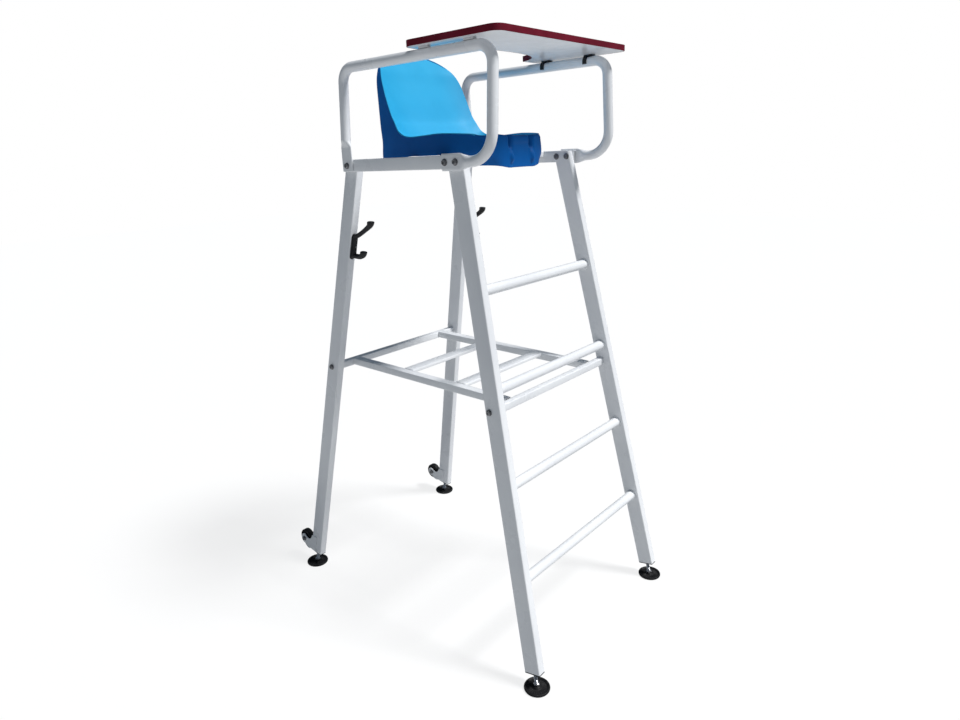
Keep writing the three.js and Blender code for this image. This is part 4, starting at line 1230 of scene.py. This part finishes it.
def make_hook(side):
    sign = SIDES[side]
    half = HOOK_PLATE_TALL / 2
    corner = HOOK_PLATE_WIDTH / 2 - GAP
    outline = rounded_outline(HOOK_PLATE_WIDTH, HOOK_PLATE_TALL, corner, HOOK_CORNER_STEPS)
    plate = loft([[Vector((u * s, -HOOK_PLATE_THICK * out, v * s)) for u, v in outline]
                  for out, s in PLATE_EDGE_SHARES])
    upper = prong([(UPPER_REACH * u, UPPER_RISE * v) for u, v in UPPER_SHARES], HOOK_TIP)
    lower = prong([(LOWER_REACH * u, -LOWER_DROP * v) for u, v in LOWER_SHARES], HOOK_TIP)
    rib = prong([(RIB_OUT, half - HOOK_ROD / 2), (RIB_OUT, 0), (RIB_OUT, HOOK_ROD - half)], HOOK_ROD)

    def seated(part):
        verts = []
        for v in part[0]:
            x, y = leg_at("rear", HOOK_HEIGHT + v.z)
            verts.append(Vector((sign * x + v.x, y - REAR_HALF - GAP + v.y, HOOK_HEIGHT + v.z)))
        return verts, part[1]
    node = f"coat_hook_{side}"
    piece(f"{node}_casting", *seated(merged([plate, upper, lower, rib])), BLACK, stands_for=[node],
          crease=CREASE_ROUND)
    dome = [(HOOK_SCREW_RADIUS * u, HOOK_SCREW_HEIGHT * v) for u, v in DOME_SHARES]
    out = RIB_OUT + HOOK_ROD / 2 * (1 - HOOK_WAIST_SHARE) - HOOK_SCREW_SINK
    place = Matrix.Translation((0, -out, 0)) @ Matrix.Rotation(math.pi / 2, 4, "X")
    piece(f"{node}_screw", *seated(moved(lathe(dome, PRONG_SIDES), place)), STEEL)


# Stage

FLOOR_HALF = 14.0
FLOOR_GLOW = 0.82
FLOOR_BOUNCE = 0.61
FLOOR_TONE = 0.95
FLOOR_ROUGH = 0.9
SKY_TINT = (0.62, 0.80, 1.0, 1)
SKY_STRENGTH = 0.16


def mix(nodes, links, share, first, second, target):
    """Two shaders mixed by a share, on their way to an output."""
    blend = nodes.new("ShaderNodeMixShader")
    for source, socket in zip((share, first.outputs[0], second.outputs[0]), blend.inputs):
        links.new(source, socket)
    links.new(blend.outputs[0], nodes[target].inputs["Surface"])


def make_floor_white():
    """A white that glows a little where the camera sees it, and bounces less light onto the chair."""
    material, nodes, links = new_material("floor_white")
    shader = nodes["Principled BSDF"]
    shader.inputs["Roughness"].default_value = FLOOR_ROUGH
    glow = nodes.new("ShaderNodeEmission")
    glow.inputs["Color"].default_value = grey(1)
    seen = nodes.new("ShaderNodeLightPath").outputs["Is Camera Ray"]
    share = nodes.new("ShaderNodeMath")
    share.operation = "MULTIPLY"
    share.inputs[1].default_value = FLOOR_GLOW
    links.new(seen, share.inputs[0])
    tone = nodes.new("ShaderNodeMapRange")
    tone.inputs["To Min"].default_value = FLOOR_BOUNCE
    tone.inputs["To Max"].default_value = FLOOR_TONE
    links.new(seen, tone.inputs["Value"])
    links.new(tone.outputs["Result"], shader.inputs["Base Color"])
    mix(nodes, links, share.outputs[0], shader, glow, "Material Output")
    return material


def make_stage():
    mesh = bpy.data.meshes.new("floor")
    corners = [(FLOOR_HALF * x, FLOOR_HALF * y, 0) for x, y in ((-1, -1), (1, -1), (1, 1), (-1, 1))]
    mesh.from_pydata(corners, [], [(0, 1, 2, 3)])
    mesh.materials.append(make_floor_white())
    floor = linked("floor", mesh)


def make_world():
    """A faint blue sky lights the shaded sides, and the camera sees plain white behind."""
    world = bpy.data.worlds.new("studio")
    bpy.context.scene.world = world
    world.use_nodes = True
    nodes, links = world.node_tree.nodes, world.node_tree.links
    sky = nodes["Background"]
    sky.inputs["Color"].default_value = SKY_TINT
    sky.inputs["Strength"].default_value = SKY_STRENGTH
    plain = nodes.new("ShaderNodeBackground")
    plain.inputs["Color"].default_value = grey(1)
    seen = nodes.new("ShaderNodeLightPath").outputs["Is Camera Ray"]
    mix(nodes, links, seen, sky, plain, "World Output")


KEY_STRENGTH = 3.6
KEY_SPREAD = math.radians(12)
KEY_FROM = (0.22, -0.49, 0.84)


def make_key():
    data = bpy.data.lights.new("key", "SUN")
    data.energy = KEY_STRENGTH
    data.angle = KEY_SPREAD
    lamp = linked("key", data)
    aim = -Vector(KEY_FROM)
    lamp.matrix_world = Matrix.Translation(KEY_FROM) @ aim.to_track_quat("-Z", "Y").to_matrix().to_4x4()


make_camera()
for side in SIDES:
    for leg in LEGS:
        make_leg(leg, side)
        make_plug(leg, side)
        make_foot(leg, side)
    make_rail(side)
    make_hoop(side)
    make_rail_bolts(side)
    make_shelf_bolts(side)
    make_bracket(side)
    make_wheel(side)
    make_axle(side)
    make_hook(side)
make_rungs()
make_shelf()
for tag in CARRIER_YS:
    make_carrier(tag)
make_seat()
make_desk()
for tag in CLIP_YS:
    make_clip(tag)
    make_rest_pad(tag)
for tag in CARRIER_YS:
    for side in SIDES:
        make_seat_bolt(tag, side)
make_stage()
make_world()
make_key()
bpy.context.scene.view_settings.view_transform = "Standard"
